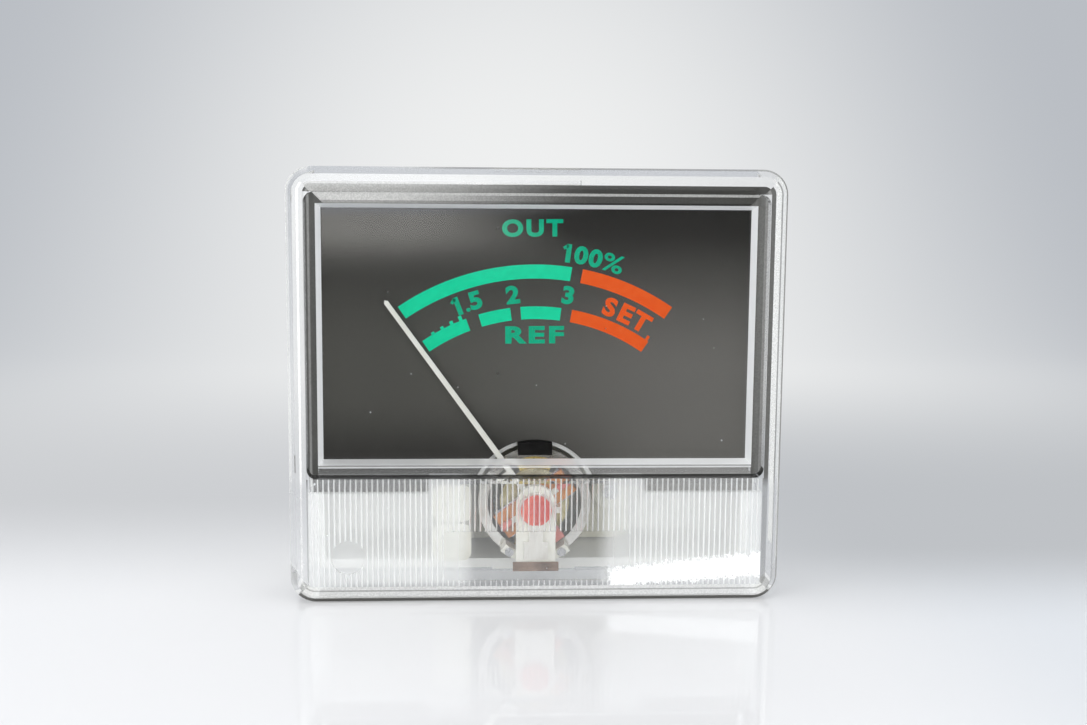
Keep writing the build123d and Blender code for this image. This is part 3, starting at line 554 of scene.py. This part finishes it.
# clear cover: polished panes, ground steps, milky rim
coverLook = {
    "tint": (0.985, 0.99, 0.995, 1.0), "shadowTint": (0.98, 0.985, 0.99, 1.0),
    "milk": (0.88, 0.89, 0.885, 1.0), "shade": rgb(26, 25, 23), "outline": rgb(84, 84, 80),
    # where its faces and edges lie
    "outer": (27.5 * mm, 24.25 * mm, 2.8 * mm),  # half width, half height, corner
    "window": (25.53 * mm, -10.13 * mm, 21.53 * mm),  # half width, lower and upper edge
    "ribs": (25.4 * mm, -22.4 * mm, -10.13 * mm),
    "front": -9.0 * mm, "chamfer": -8.15 * mm, "ledge": -7.4 * mm, "pane": -6.1 * mm,
    "skin": 0.02 * mm, "grooveDepth": 0.2 * mm, "stripEdge": -11.75 * mm, "stripSide": 12.1 * mm,
    "topEdge": 20.2 * mm, "sideEdge": 24.38 * mm, "stepEdge": 23.88 * mm, "sill": -9.96 * mm,
    "lowEdge": (-9.2 * mm, -9.03 * mm),
    # how milky: over the movement, beside it, over the dial's lower strip
    "middleHalf": (6.5 * mm, 9.0 * mm), "middleMilk": 0.04, "outerMilk": 0.28, "stripMilk": 0.1,
    # the pane's ground steps at the sides, and above from left to right
    "sideStep": 0.75, "levelStep": (0.42, 0.72), "levelFade": (-8 * mm, 16 * mm),
    # the low ledge's veil, and a painted highlight line along its edge
    "lowVeil": (0.08, 0.15), "veilFade": (-20 * mm, 20 * mm), "lowEdgeHighlight": 0.45,
    "grooveMilk": 0.42, "sillShade": 0.75, "footShade": 0.6, "raggedPatchMilk": 0.75,
    # the painted reflection stripes: from the top's left ones to its right ones, and what is left
    # beside the ribs
    "topFade": (-21 * mm, 7 * mm), "panelFade": (-11.5 * mm, -9.5 * mm), "panelRim": 0.35,
    # the painted edge shade: its width at the top and sides and below, where it begins above
    "outlineWidth": (0.2 * mm, 0.48 * mm), "outlineFade": (-20 * mm, -8 * mm),
    "outlineSide": 0.85, "outlineShare": 0.6,
    # how dull, on top of the polish
    "polish": 0.03, "dustRough": 0.4, "ledgeRough": (0.02, 0.1), "stepRough": 0.35,
    "grooveRough": 0.2,
}
# painted reflections that the rim bends into view: mm in from the outer edge, tone, share
paintedRimReflections = {
    "left": [
        (0.0, 238, 0.35), (0.35, 235, 0.12), (1.25, 250, 0.7), (1.46, 235, 0.15), (1.95, 56, 0.92),
        (2.2, 112, 0.88), (2.45, 68, 0.93),
    ],
    "right": [
        (0.0, 238, 0.35), (0.66, 112, 0.68), (0.84, 228, 0.3), (1.47, 78, 0.95), (1.97, 118, 0.92),
        (2.3, 88, 0.92),
    ],
    "topLeft": [
        (0.0, 235, 0.12), (1.6, 190, 0.55), (1.85, 156, 0.88), (2.7, 196, 0.88), (3.3, 190, 0.88),
        (3.65, 144, 0.9), (3.9, 120, 0.9),
    ],
    "topRight": [
        (0.0, 232, 0.12), (1.85, 46, 0.95), (2.72, 168, 0.9), (3.05, 60, 0.94), (3.78, 26, 0.97),
    ],
    "low": [(0.0, 228, 0.5), (1.3, 150, 0.6), (1.48, 228, 0.5)],
}
stripeSpan = 5  # mm that their ramp covers
# a ragged pale milky patch low on the ribs: from, to, its middle at both ends, half height, in mm
raggedPatchLook = {
    "reach": (8.3, 26.0), "middle": (-21.5, -20.0), "half": (1.0, 1.35), "ragged": 1.5,
    "edge": (-0.15, 0.2),
}


def addStripes(tree, inward, stripes):
    # tone and share of one side's painted reflection stripes against the distance in from the outer
    # edge
    band = putNode(tree, "ShaderNodeValToRGB")
    band.color_ramp.interpolation = "CONSTANT"
    stops = band.color_ramp.elements
    for number, (start, tone, share) in enumerate(stripes):
        place = start / stripeSpan
        stop = stops[number] if number < 2 else stops.new(place)
        stop.position = place
        stop.color = rgb(tone, tone, tone - 3)[:3] + (share,)
    tree.links.new(doMath(tree, "DIVIDE", inward, stripeSpan * mm), band.inputs[0])
    return band.outputs["Color"], band.outputs["Alpha"]


def blendStripes(tree, factor, first, second):
    tone = mixColours(tree, factor, first[0], second[0])
    return tone, blendValues(tree, factor, first[1], second[1])


def joinStripes(tree, look, stripes, side, height, inward, atTop, lowHalf):
    made = {key: addStripes(tree, inward, items) for key, items in stripes.items()}
    rightHalf = doMath(tree, "GREATER_THAN", side, 0.0)
    tone, share = blendStripes(tree, rightHalf, made["left"], made["right"])
    besidePanel = rangeOf(tree, height, *look["panelFade"], 1.0, 0.0)
    share = doMath(tree, "MULTIPLY", share, blendValues(tree, besidePanel, 1.0, look["panelRim"]))
    toRight = rangeOf(tree, side, *look["topFade"])
    level = blendStripes(tree, toRight, made["topLeft"], made["topRight"])
    level = blendStripes(tree, lowHalf, level, made["low"])
    return blendStripes(tree, atTop, (tone, share), level)


def rimDistance(tree, outer, aside, height):
    # distance in from the rounded outer edge, and 1 where the top or the foot is the nearer edge
    halfWide, halfTall, corner = outer
    acrossEdge = doMath(tree, "SUBTRACT", aside, halfWide - corner)
    tallEdge = doMath(tree, "SUBTRACT", doMath(tree, "ABSOLUTE", height), halfTall - corner)
    squares = [
        doMath(tree, "POWER", doMath(tree, "MAXIMUM", item, 0.0), 2.0)
        for item in (acrossEdge, tallEdge)
    ]
    bend = doMath(tree, "SQRT", doMath(tree, "ADD", *squares))
    flat = doMath(tree, "MINIMUM", doMath(tree, "MAXIMUM", acrossEdge, tallEdge), 0.0)
    inward = doMath(tree, "SUBTRACT", corner, doMath(tree, "ADD", bend, flat))
    return inward, doMath(tree, "GREATER_THAN", tallEdge, acrossEdge)


def raggedPatchMask(tree, look, place, side, height):
    start, end = (item * mm for item in look["reach"])
    line, half = (
        rangeOf(tree, side, start, end, *(item * mm for item in look[key]), False)
        for key in ("middle", "half")
    )
    off = doMath(tree, "ABSOLUTE", doMath(tree, "SUBTRACT", height, line))
    before = doMath(tree, "SUBTRACT", doMath(tree, "ADD", half, start), side)
    tear = doMath(tree, "SUBTRACT", addNoise(tree, place, 2400.0, 5.0, 0.75), 0.5)
    torn = doMath(tree, "MULTIPLY", tear, 2 * look["ragged"] * mm)
    off = doMath(tree, "ADD", doMath(tree, "MAXIMUM", off, before), torn)
    return rangeOf(tree, doMath(tree, "SUBTRACT", half, off), *(item * mm for item in look["edge"]))


def makeCoverFinish(look, stripes, raggedPatch):
    finish, tree, shader = startFinish("coverClear", {
        "Transmission Weight": 1.0, "IOR": 1.49, "Base Color": look["tint"],
    })
    place = objectPlace(tree)
    side, depth, height = splitAxes(tree, place)
    aside = doMath(tree, "ABSOLUTE", side)
    skin = look["skin"]

    def both(first, second):
        return doMath(tree, "MULTIPLY", first, second)

    def above(value, limit):
        return doMath(tree, "GREATER_THAN", value, limit)

    inWindow, inPanel = (
        both(doMath(tree, "LESS_THAN", aside, half), within(tree, height, low, high))
        for half, low, high in (look["window"], look["ribs"])
    )
    onLedge = both(inWindow, within(tree, depth, look["ledge"] - skin, look["ledge"] + skin))
    onStep = both(inWindow, within(tree, depth, look["ledge"] + skin, look["pane"] - skin))
    grooveFoot = look["front"] + look["grooveDepth"]
    inGroove = both(inPanel, within(tree, depth, look["front"] + skin / 2, grooveFoot))

    # painted reflections and shade: stripes of the rim and of the ledge
    inward, atTop = rimDistance(tree, look["outer"], aside, height)
    lowHalf = doMath(tree, "LESS_THAN", height, 0.0)
    tone, stripeShare = joinStripes(tree, look, stripes, side, height, inward, atTop, lowHalf)
    upper = doMath(tree, "MAXIMUM", above(height, look["topEdge"]), above(aside, look["sideEdge"]))
    onStripes = both(onLedge, upper)
    onLow = doMath(tree, "SUBTRACT", onLedge, onStripes)
    onRim = doMath(tree, "SUBTRACT", 1.0, doMath(tree, "ADD", inWindow, inPanel))
    faced = both(onRim, doMath(tree, "LESS_THAN", depth, look["chamfer"]))
    onStripes = doMath(tree, "ADD", onStripes, faced)
    # painted shade: a thin dark line along the outer edge, above from the left quarter on, at the
    # right, and below
    below = both(atTop, lowHalf)
    edgeBand = doMath(tree, "LESS_THAN", inward, blendValues(tree, below, *look["outlineWidth"]))
    sideways = both(rangeOf(tree, side, *look["outlineFade"]), look["outlineSide"])
    onEdgeShade = both(both(edgeBand, faced), doMath(tree, "MAXIMUM", below, sideways))

    # fine grit on the ground faces, a few dust specks everywhere
    grit = addNoise(tree, place, 7500.0, 3.0)
    ground = rangeOf(tree, grit, 0.35, 0.65, *look["ledgeRough"])
    dust = placeGroup(tree, dustGroup, {"Speck Scale": 900.0, "Speck Size": 0.07, "Share": 0.05})
    rough = doMath(tree, "MULTIPLY_ADD", dust.outputs["Mask"], look["dustRough"], look["polish"])
    for zone, more in (
        (onLedge, ground), (onStep, look["stepRough"]), (inGroove, look["grooveRough"]),
    ):
        rough = doMath(tree, "MULTIPLY_ADD", zone, more, rough)
    tree.links.new(rough, shader.inputs["Roughness"])
    addBump(tree, shader, both(onLedge, grit), 0.12, 0.02 * mm)
    onRaggedPatch = both(raggedPatchMask(tree, raggedPatch, place, side, height), inPanel)

    # the milky skin: its colour zone by zone, mostly painted reflections and painted shade
    speckled = putNode(tree, "ShaderNodeVectorMath", {"operation": "SCALE"})
    tree.links.new(tone, speckled.inputs[0])
    tree.links.new(rangeOf(tree, grit, 0.36, 0.64, 0.86, 1.12), speckled.inputs["Scale"])
    # painted shade: the sill below the window takes the shade colour
    onSill = both(inWindow, within(tree, height, look["window"][1], look["sill"]))
    onSill = both(onSill, within(tree, depth, look["front"] + skin, look["ledge"] + skin))
    # and a hair's breadth of shade at the foot of the pane's step
    atFoot = both(onLow, above(height, look["lowEdge"][1]))
    onSill = doMath(tree, "MAXIMUM", onSill, both(atFoot, look["footShade"]))
    colour = mixColours(tree, onStripes, look["milk"], speckled.outputs[0])
    for zone, shade in ((onEdgeShade, look["outline"]), (onSill, look["shade"])):
        colour = mixColours(tree, zone, colour, shade)
    milk = putNode(tree, "ShaderNodeBsdfPrincipled", None, {"Roughness": 0.4, "IOR": 1.49})
    tree.links.new(colour, milk.inputs["Base Color"])

    # how much of it there is: clearer over the movement and over the dial's lower strip
    beside = rangeOf(tree, aside, *look["middleHalf"], look["middleMilk"], look["outerMilk"])
    overStrip = both(above(height, look["stripEdge"]), above(aside, look["stripSide"]))
    panelShare = blendValues(tree, overStrip, beside, look["stripMilk"])
    levelStep = rangeOf(tree, side, *look["levelFade"], *look["levelStep"])
    stepShare = blendValues(tree, above(aside, look["stepEdge"]), levelStep, look["sideStep"])
    veil = rangeOf(tree, side, *look["veilFade"], *look["lowVeil"])
    # painted highlight: a pale line along the low edge of the ledge
    atLowHighlight = within(tree, height, *look["lowEdge"])
    veil = doMath(tree, "MULTIPLY_ADD", atLowHighlight, look["lowEdgeHighlight"], veil)
    amount = both(inPanel, panelShare)
    for zone, share in (
        (onStripes, stripeShare), (onEdgeShade, look["outlineShare"]),
        (inGroove, look["grooveMilk"]), (onStep, stepShare), (onLow, veil),
        (onSill, look["sillShade"]), (onRaggedPatch, look["raggedPatchMilk"]),
    ):
        amount = doMath(tree, "MULTIPLY_ADD", zone, share, amount)
    milky = mixShaders(tree, amount, shader.outputs[0], milk.outputs[0])

    # lamps reach what is behind the moulding
    light = putNode(tree, "ShaderNodeLightPath")
    through = putNode(tree, "ShaderNodeBsdfTransparent", None, {"Color": look["shadowTint"]})
    surface = mixShaders(tree, light.outputs["Is Shadow Ray"], milky, through.outputs[0])
    tree.links.new(surface, tree.nodes["Material Output"].inputs["Surface"])
    dress(["front_cover"], finish)


makeCoverFinish(coverLook, paintedRimReflections, raggedPatchLook)
print("dial and cover finishes made")


# printing on the dial
printLook = {
    "back": -3.4 * mm, "thick": 0.03 * mm, "bump": 0.008 * mm,
    # pale and deep colour of each ink; the thin letters show darker than the bars
    "inkGreen": (rgb(8, 234, 176), rgb(6, 226, 168)),
    "inkLetterGreen": (rgb(0, 192, 146), rgb(0, 182, 136)),
    "inkOrange": (rgb(255, 102, 30), rgb(252, 94, 22)),
}


def makeInk(name, look):
    finish, tree, shader = startFinish(name, {"IOR": 1.45, "Specular IOR Level": 0.2})
    pale, deep = look[name]
    effect = placeGroup(tree, grainGroup, {
        "Pale": pale, "Deep": deep, "Cloud Scale": 1400.0, "Grain Scale": 7000.0,
        "Rough Low": 0.4, "Rough High": 0.55,
    })
    wireFinish(tree, shader, effect, look["bump"])
    return finish


inks = {name: makeInk(name, printLook) for name in ("inkGreen", "inkLetterGreen", "inkOrange")}


def dialTurn(angle, reach, lift=0.0):
    # a frame on the dial at this angle from vertical: X along the arc, Y outwards, Z to the viewer
    swing = math.radians(angle)
    across = Vector((math.cos(swing), 0, -math.sin(swing)))
    outward = Vector((math.sin(swing), 0, math.cos(swing)))
    place = Vector((pivot["x"], printLook["back"] - lift, pivot["z"])) + outward * reach
    turn = Matrix((across, outward, Vector((0, -1, 0)))).transposed().to_4x4()
    return Matrix.Translation(place) @ turn


def joinTo(shape, part):
    # one bmesh goes into another by way of a mesh
    mesh = bpy.data.meshes.new("part")
    part.to_mesh(mesh)
    part.free()
    shape.from_mesh(mesh)
    bpy.data.meshes.remove(mesh)


barStep = 1.2  # degrees of arc to a face


def addArcBar(shape, inner, outer, start, end):
    # a thin square-ended bar swept round the pivot
    bar = bmesh.new()
    bmesh.ops.create_grid(bar, x_segments=1, y_segments=1, size=0.5)
    middle = (inner + outer) / 2
    thick = printLook["thick"]
    turnUp = Matrix.Rotation(math.radians(-90), 4, "Y")  # the grid's X goes to Z
    bmesh.ops.transform(bar, matrix=Matrix.Diagonal((thick, outer - inner, 1, 1)), verts=bar.verts)
    bmesh.ops.transform(bar, matrix=turnUp, verts=bar.verts)
    bmesh.ops.transform(bar, matrix=dialTurn(start, middle, thick / 2), verts=bar.verts)
    steps = max(1, int((end - start) / barStep))
    bmesh.ops.spin(
        bar, geom=bar.verts[:] + bar.edges[:] + bar.faces[:], cent=(pivot["x"], 0, pivot["z"]),
        axis=(0, 1, 0), angle=math.radians(end - start), steps=steps, use_duplicate=False,
    )
    bmesh.ops.recalc_face_normals(bar, faces=bar.faces)
    joinTo(shape, bar)


textDepth = 0.01  # half the depth of a letter before it is laid on the dial
letterWidening = 1.12


def addLetters(shape, word, angle, reach, capHeight, width, boldness):
    # one word or letter centred on its place; a width of 0 keeps the letter's own, a little widened
    text = bpy.data.curves.new("word", "FONT")
    text.body = word
    text.align_x = "CENTER"
    text.align_y = "CENTER"
    text.offset = boldness
    text.space_character = 1.22
    text.extrude = textDepth
    text.resolution_u = 4
    holder = bpy.data.objects.new("word", text)
    bpy.context.scene.collection.objects.link(holder)
    bpy.context.view_layer.update()
    graph = bpy.context.evaluated_depsgraph_get()
    flat = bpy.data.meshes.new_from_object(holder.evaluated_get(graph))
    xs = [corner.co.x for corner in flat.vertices]
    ys = [corner.co.y for corner in flat.vertices]
    thick = printLook["thick"]
    tall = capHeight / (max(ys) - min(ys))
    wide = width / (max(xs) - min(xs)) if width else letterWidening * tall
    scale = Matrix.Diagonal((wide, tall, thick / (2 * textDepth), 1))
    centre = Matrix.Translation((-(max(xs) + min(xs)) / 2, -(max(ys) + min(ys)) / 2, textDepth))
    flat.transform(dialTurn(angle, reach) @ scale @ centre)
    shape.from_mesh(flat)
    bpy.data.objects.remove(holder)
    bpy.data.meshes.remove(flat)


def addFlag(shape, angle, reach, capHeight):
    # the slanted flag at the top of a figure 1
    flag = bmesh.new()
    bmesh.ops.create_cube(flag, size=1)
    thick = printLook["thick"]
    size = Matrix.Diagonal((0.3 * capHeight, 0.17 * capHeight, thick, 1))
    place = Matrix.Translation((-0.17 * capHeight, 0.33 * capHeight, thick / 2))
    slant = Matrix.Rotation(math.radians(38), 4, "Z")
    matrix = dialTurn(angle, reach) @ place @ slant @ size
    bmesh.ops.transform(flag, matrix=matrix, verts=flag.verts)
    joinTo(shape, flag)


def finishPiece(name, shape, finish, body):
    bmesh.ops.remove_doubles(shape, verts=shape.verts, dist=1e-7)
    bmesh.ops.recalc_face_normals(shape, faces=shape.faces)
    mesh = bpy.data.meshes.new(name)
    shape.to_mesh(mesh)
    shape.free()
    mesh.materials.append(finish)
    mesh.shade_flat()
    piece = bpy.data.objects.new(name, mesh)
    bpy.context.scene.collection.objects.link(piece)
    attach(piece, body)


# bars (inner, outer, start, end) and ticks (angle, reach), in mm and degrees from vertical
greenBars = {
    "bars": [
        (25.9, 27.5, -34.6, 8.5),
        (21.3, 22.75, -34.5, -20.4), (21.3, 22.75, -16.7, -7.4), (21.3, 22.75, -4.5, 7.3),
    ],
    "ticks": [(-30.7, 23.0), (-27.7, 23.05), (-24.7, 23.15), (-21.9, 23.3)],
    "tickWidth": 1.0, "tickFoot": 22.7,
}
orangeBars = {
    "bars": [(25.9, 27.5, 11.1, 34.4), (21.3, 22.75, 10.4, 34.5)],
    "ticks": [(33.7, 23.3)],
    "tickWidth": 0.8, "tickFoot": 22.7,
}


def makeBars(name, look, finish):
    shape = bmesh.new()
    for inner, outer, start, end in look["bars"]:
        addArcBar(shape, inner * mm, outer * mm, start, end)
    for angle, reach in look["ticks"]:
        half = look["tickWidth"] / 2
        addArcBar(shape, look["tickFoot"] * mm, reach * mm, angle - half, angle + half)
    finishPiece(name, shape, finish, "case")


makeBars("scale_bars_green", greenBars, inks["inkGreen"])
makeBars("scale_bars_orange", orangeBars, inks["inkOrange"])

# (word, angle, reach, cap height, width) in mm and degrees; arc words are given letter by letter
greenLetters = {
    "words": [
        ("OUT", -0.8, 31.6, 2.0, 6.9), ("REF", -0.4, 19.5, 2.0, 6.7),
        ("1", 7.2, 29.0, 2.1, 0), ("0", 10.1, 29.0, 2.1, 0), ("0", 13.4, 29.0, 2.1, 0),
        ("%", 17.5, 29.0, 2.1, 2.4),
        ("1", -21.2, 24.4, 2.1, 0), (".", -18.9, 23.6, 0.45, 0.5), ("5", -16.4, 24.4, 2.1, 0),
        ("2", -6.3, 24.2, 2.1, 0), ("3", 8.6, 24.3, 2.1, 0),
    ],
    "flags": [(7.2, 29.0, 2.1), (-21.2, 24.4, 2.1)],
    "boldness": 0.045, "signBoldness": 0.015,
}
orangeLetters = {
    "words": [("S", 20.4, 24.2, 2.2, 0), ("E", 25.2, 24.2, 2.2, 0), ("T", 29.8, 24.2, 2.2, 0)],
    "flags": [], "boldness": 0.045, "signBoldness": 0.015,
}


def makeLetters(name, look, finish):
    shape = bmesh.new()
    for word, angle, reach, capHeight, width in look["words"]:
        boldness = look["signBoldness" if word == "%" else "boldness"]
        addLetters(shape, word, angle, reach * mm, capHeight * mm, width * mm, boldness)
    for angle, reach, capHeight in look["flags"]:
        addFlag(shape, angle, reach * mm, capHeight * mm)
    finishPiece(name, shape, finish, "case")


makeLetters("scale_letters_green", greenLetters, inks["inkLetterGreen"])
makeLetters("scale_letters_orange", orangeLetters, inks["inkOrange"])
print("dial printing made")


# studio sweep under and behind the meter
stageLook = {
    "near": -1500 * mm, "bendAt": 200 * mm, "bend": 150 * mm, "top": 600 * mm, "half": 900 * mm,
    # the paper: polished round the meter, dull farther out, with painted shade making it greyer to
    # the right of the meter
    "polish": (90 * mm, 170 * mm), "rough": (0.03, 0.5),
    "floor": rgb(242, 242, 242), "floorRightShade": rgb(226, 229, 232), "outward": (25 * mm, 60 * mm),
    # its far part: a painted pool of light that fades outwards over a band of painted shadow behind
    # the meter, darkest at the right
    "glow": rgb(239, 240, 240), "rim": rgb(186, 190, 196), "glowFade": (0.1, 1.2),
    "glowSize": (12 * mm, 170 * mm, 190 * mm),  # middle, width, height
    "band": rgb(205, 207, 210), "bandRight": rgb(191, 194, 198), "rightward": (-25 * mm, 50 * mm),
    "bandFade": (40 * mm, 190 * mm),
    "bandLeft": (-14 * mm, 46 * mm), "bandAtRight": (-22 * mm, 16 * mm),  # where it begins
    # its near part: the colour that a camera behind the meter sees
    "ahead": (-90 * mm, -50 * mm), "open": rgb(230, 232, 235),
    # and what the pane mirrors there, from near to far, with its tones from left to right
    "mirrorTint": (1.0, 0.985, 0.93, 1.0),
    "mirrors": [
        {"across": (0.0, 40 * mm), "tones": (0.06, 0.15)},
        {"across": (-50 * mm, 50 * mm), "tones": (0.12, 0.15), "ahead": (-100 * mm, -300 * mm)},
        {"across": (-60 * mm, 90 * mm), "tones": (2.1, 0.0), "ahead": (-450 * mm, -1000 * mm)},
    ],
}


def makeStage(look):
    sweep = bmesh.new()
    left = sweep.verts.new((-look["half"], look["near"], floorHeight))
    right = sweep.verts.new((look["half"], look["near"], floorHeight))
    sweep.edges.new((left, right))

    def only(items, kind):
        return [item for item in items if isinstance(item, kind)]

    def pull(edges, move):
        made = bmesh.ops.extrude_edge_only(sweep, edges=edges)["geom"]
        bmesh.ops.translate(sweep, vec=move, verts=only(made, bmesh.types.BMVert))
        return only(made, bmesh.types.BMEdge)

    edge = pull(sweep.edges[:], (0, look["bendAt"] - look["near"], 0))
    arc = bmesh.ops.spin(
        sweep, geom=edge, cent=(0, look["bendAt"], floorHeight + look["bend"]), axis=(1, 0, 0),
        angle=math.radians(90), steps=24, use_duplicate=False,
    )["geom_last"]
    pull(only(arc, bmesh.types.BMEdge), (0, 0, look["top"]))
    for face in sweep.faces:
        face.smooth = True
    mesh = bpy.data.meshes.new("studio_sweep")
    sweep.to_mesh(mesh)
    sweep.free()
    stage = bpy.data.objects.new("studio_sweep", mesh)
    bpy.context.scene.collection.objects.link(stage)
    return stage


def mirrorRays(tree):
    # 1 on all rays that a face mirrors or bends, 1 on those that come from no dull face, and 1 on
    # the camera's own
    light = putNode(tree, "ShaderNodeLightPath").outputs
    bent = doMath(tree, "MAXIMUM", light["Is Glossy Ray"], light["Is Transmission Ray"])
    direct = doMath(tree, "LESS_THAN", light["Diffuse Depth"], 0.5)
    return bent, doMath(tree, "MULTIPLY", bent, direct), light["Is Camera Ray"]


def makeStageFinish(look):
    finish, tree, shader = startFinish("sweepPaper", {"IOR": 1.5})
    place = objectPlace(tree)
    across, along, height = splitAxes(tree, place)
    bent, mirrored, camera = mirrorRays(tree)
    dull = rangeOf(tree, doVector(tree, "LENGTH", place), *look["polish"], *look["rough"])
    tree.links.new(dull, shader.inputs["Roughness"])
    # painted shade: the paper greyer to the right of the meter
    outward = rangeOf(tree, across, *look["outward"])
    paper = mixColours(tree, outward, look["floor"], look["floorRightShade"])
    tree.links.new(paper, shader.inputs["Base Color"])

    # the far part: its glow is painted light, its band painted shadow
    middle, wide, tall = look["glowSize"]
    sideways = doMath(tree, "DIVIDE", doMath(tree, "SUBTRACT", across, middle), wide)
    upwards = doMath(tree, "DIVIDE", height, tall)
    squares = [doMath(tree, "MULTIPLY", item, item) for item in (sideways, upwards)]
    glow = rangeOf(tree, doMath(tree, "SQRT", doMath(tree, "ADD", *squares)), *look["glowFade"])
    far = mixColours(tree, glow, look["glow"], look["rim"])
    rightward = rangeOf(tree, across, *look["rightward"])
    band = mixColours(tree, rightward, look["band"], look["bandRight"])
    far = mixColours(tree, rangeOf(tree, along, *look["bandFade"], 1.0, 0.0), far, band)
    shine = putNode(tree, "ShaderNodeEmission", None, {"Strength": 1.0})
    tree.links.new(far, shine.inputs["Color"])
    begins = (rangeOf(tree, along, *look[key]) for key in ("bandLeft", "bandAtRight"))
    behind = blendValues(tree, rightward, *begins)
    seen = doMath(tree, "MAXIMUM", bent, camera)
    back = mixShaders(
        tree, doMath(tree, "MULTIPLY", seen, behind), shader.outputs[0], shine.outputs[0])

    # the near part, as the pane mirrors it and as the camera sees it from behind the meter
    shade = None
    for part in look["mirrors"]:
        level = rangeOf(tree, across, *part["across"], *part["tones"])
        if shade is None:
            shade = level
        else:
            shade = blendValues(tree, rangeOf(tree, along, *part["ahead"]), shade, level)
    room = putNode(tree, "ShaderNodeEmission", None, {"Color": look["mirrorTint"]})
    tree.links.new(shade, room.inputs["Strength"])
    opened = putNode(tree, "ShaderNodeEmission", None, {"Color": look["open"]})
    front = mixShaders(tree, camera, room.outputs[0], opened.outputs[0])
    ahead = rangeOf(tree, along, *look["ahead"], 1.0, 0.0)
    share = doMath(tree, "MULTIPLY", ahead, doMath(tree, "MAXIMUM", mirrored, camera))
    surface = mixShaders(tree, share, back, front)
    tree.links.new(surface, tree.nodes["Material Output"].inputs["Surface"])
    return finish


sweepStage = makeStage(stageLook)
sweepStage.data.materials.append(makeStageFinish(stageLook))


# lamps, which show in no pane; only the overhead one gives a gloss
lampLooks = {
    "tentLeft": {"place": (-0.45, -0.32, 0.26), "size": (0.4, 0.5), "power": 1.5, "seen": False},
    "tentRight": {"place": (0.48, -0.3, 0.2), "size": (0.4, 0.5), "power": 1.0, "seen": False},
    "overhead": {"place": (0.0, -0.05, 0.6), "size": (0.8, 0.6), "power": 1.1, "seen": True},
    "tentFront": {"place": (0.05, -0.6, 0.06), "size": (0.7, 0.3), "power": 2.4, "seen": False},
}


def makeLamps(looks):
    for name, look in looks.items():
        lamp = bpy.data.lights.new(name, "AREA")
        lamp.shape = "RECTANGLE"
        lamp.size, lamp.size_y = look["size"]
        lamp.energy = look["power"]
        holder = bpy.data.objects.new(name, lamp)
        bpy.context.scene.collection.objects.link(holder)
        place = Vector(look["place"])
        aim = (-place).to_track_quat("-Z", "Y").to_matrix().to_4x4()
        holder.matrix_world = Matrix.Translation(place) @ aim
        holder.visible_camera = False
        holder.visible_transmission = False
        holder.visible_glossy = look["seen"]


roomLook = {
    "colour": (0.93, 0.95, 1.0, 1.0), "strength": 0.55, "seen": rgb(230, 232, 235),
    # the room ahead in the pane, left and right, by slant and by depth
    "mirrorFar": (2.2, 0.0), "slant": (-0.06, 0.1), "ahead": (-0.9, -0.7),
    # how dark the far sides show in polished edges
    "side": 0.06, "aside": (0.5, 0.9),
}


def makeRoom(look):
    room = bpy.data.worlds.new("paleRoom")
    room.use_nodes = True
    bpy.context.scene.world = room
    tree = room.node_tree
    plain = tree.nodes["Background"]
    plain.inputs["Color"].default_value = look["colour"]
    plain.inputs["Strength"].default_value = look["strength"]
    across, along, _ = splitAxes(tree, putNode(tree, "ShaderNodeTexCoord").outputs["Generated"])
    slant = doMath(tree, "DIVIDE", across, doMath(tree, "ABSOLUTE", along))
    ahead = rangeOf(tree, slant, *look["slant"], *look["mirrorFar"])
    level = rangeOf(tree, along, *look["ahead"], 1.0, 0.0)
    aside = doMath(tree, "ABSOLUTE", across)
    sides = rangeOf(tree, aside, *look["aside"], look["strength"], look["side"])
    mirror = putNode(tree, "ShaderNodeBackground", None, {"Color": look["colour"]})
    tree.links.new(blendValues(tree, level, sides, ahead), mirror.inputs["Strength"])
    seen = putNode(tree, "ShaderNodeBackground", None, {"Color": look["seen"], "Strength": 1.0})
    _, mirrored, camera = mirrorRays(tree)
    surface = mixShaders(tree, mirrored, plain.outputs[0], mirror.outputs[0])
    surface = mixShaders(tree, camera, surface, seen.outputs[0])
    tree.links.new(surface, tree.nodes["World Output"].inputs["Surface"])


makeLamps(lampLooks)
makeRoom(roomLook)

bpy.context.scene.view_settings.view_transform = "Standard"
print("stage, lamps and room made")
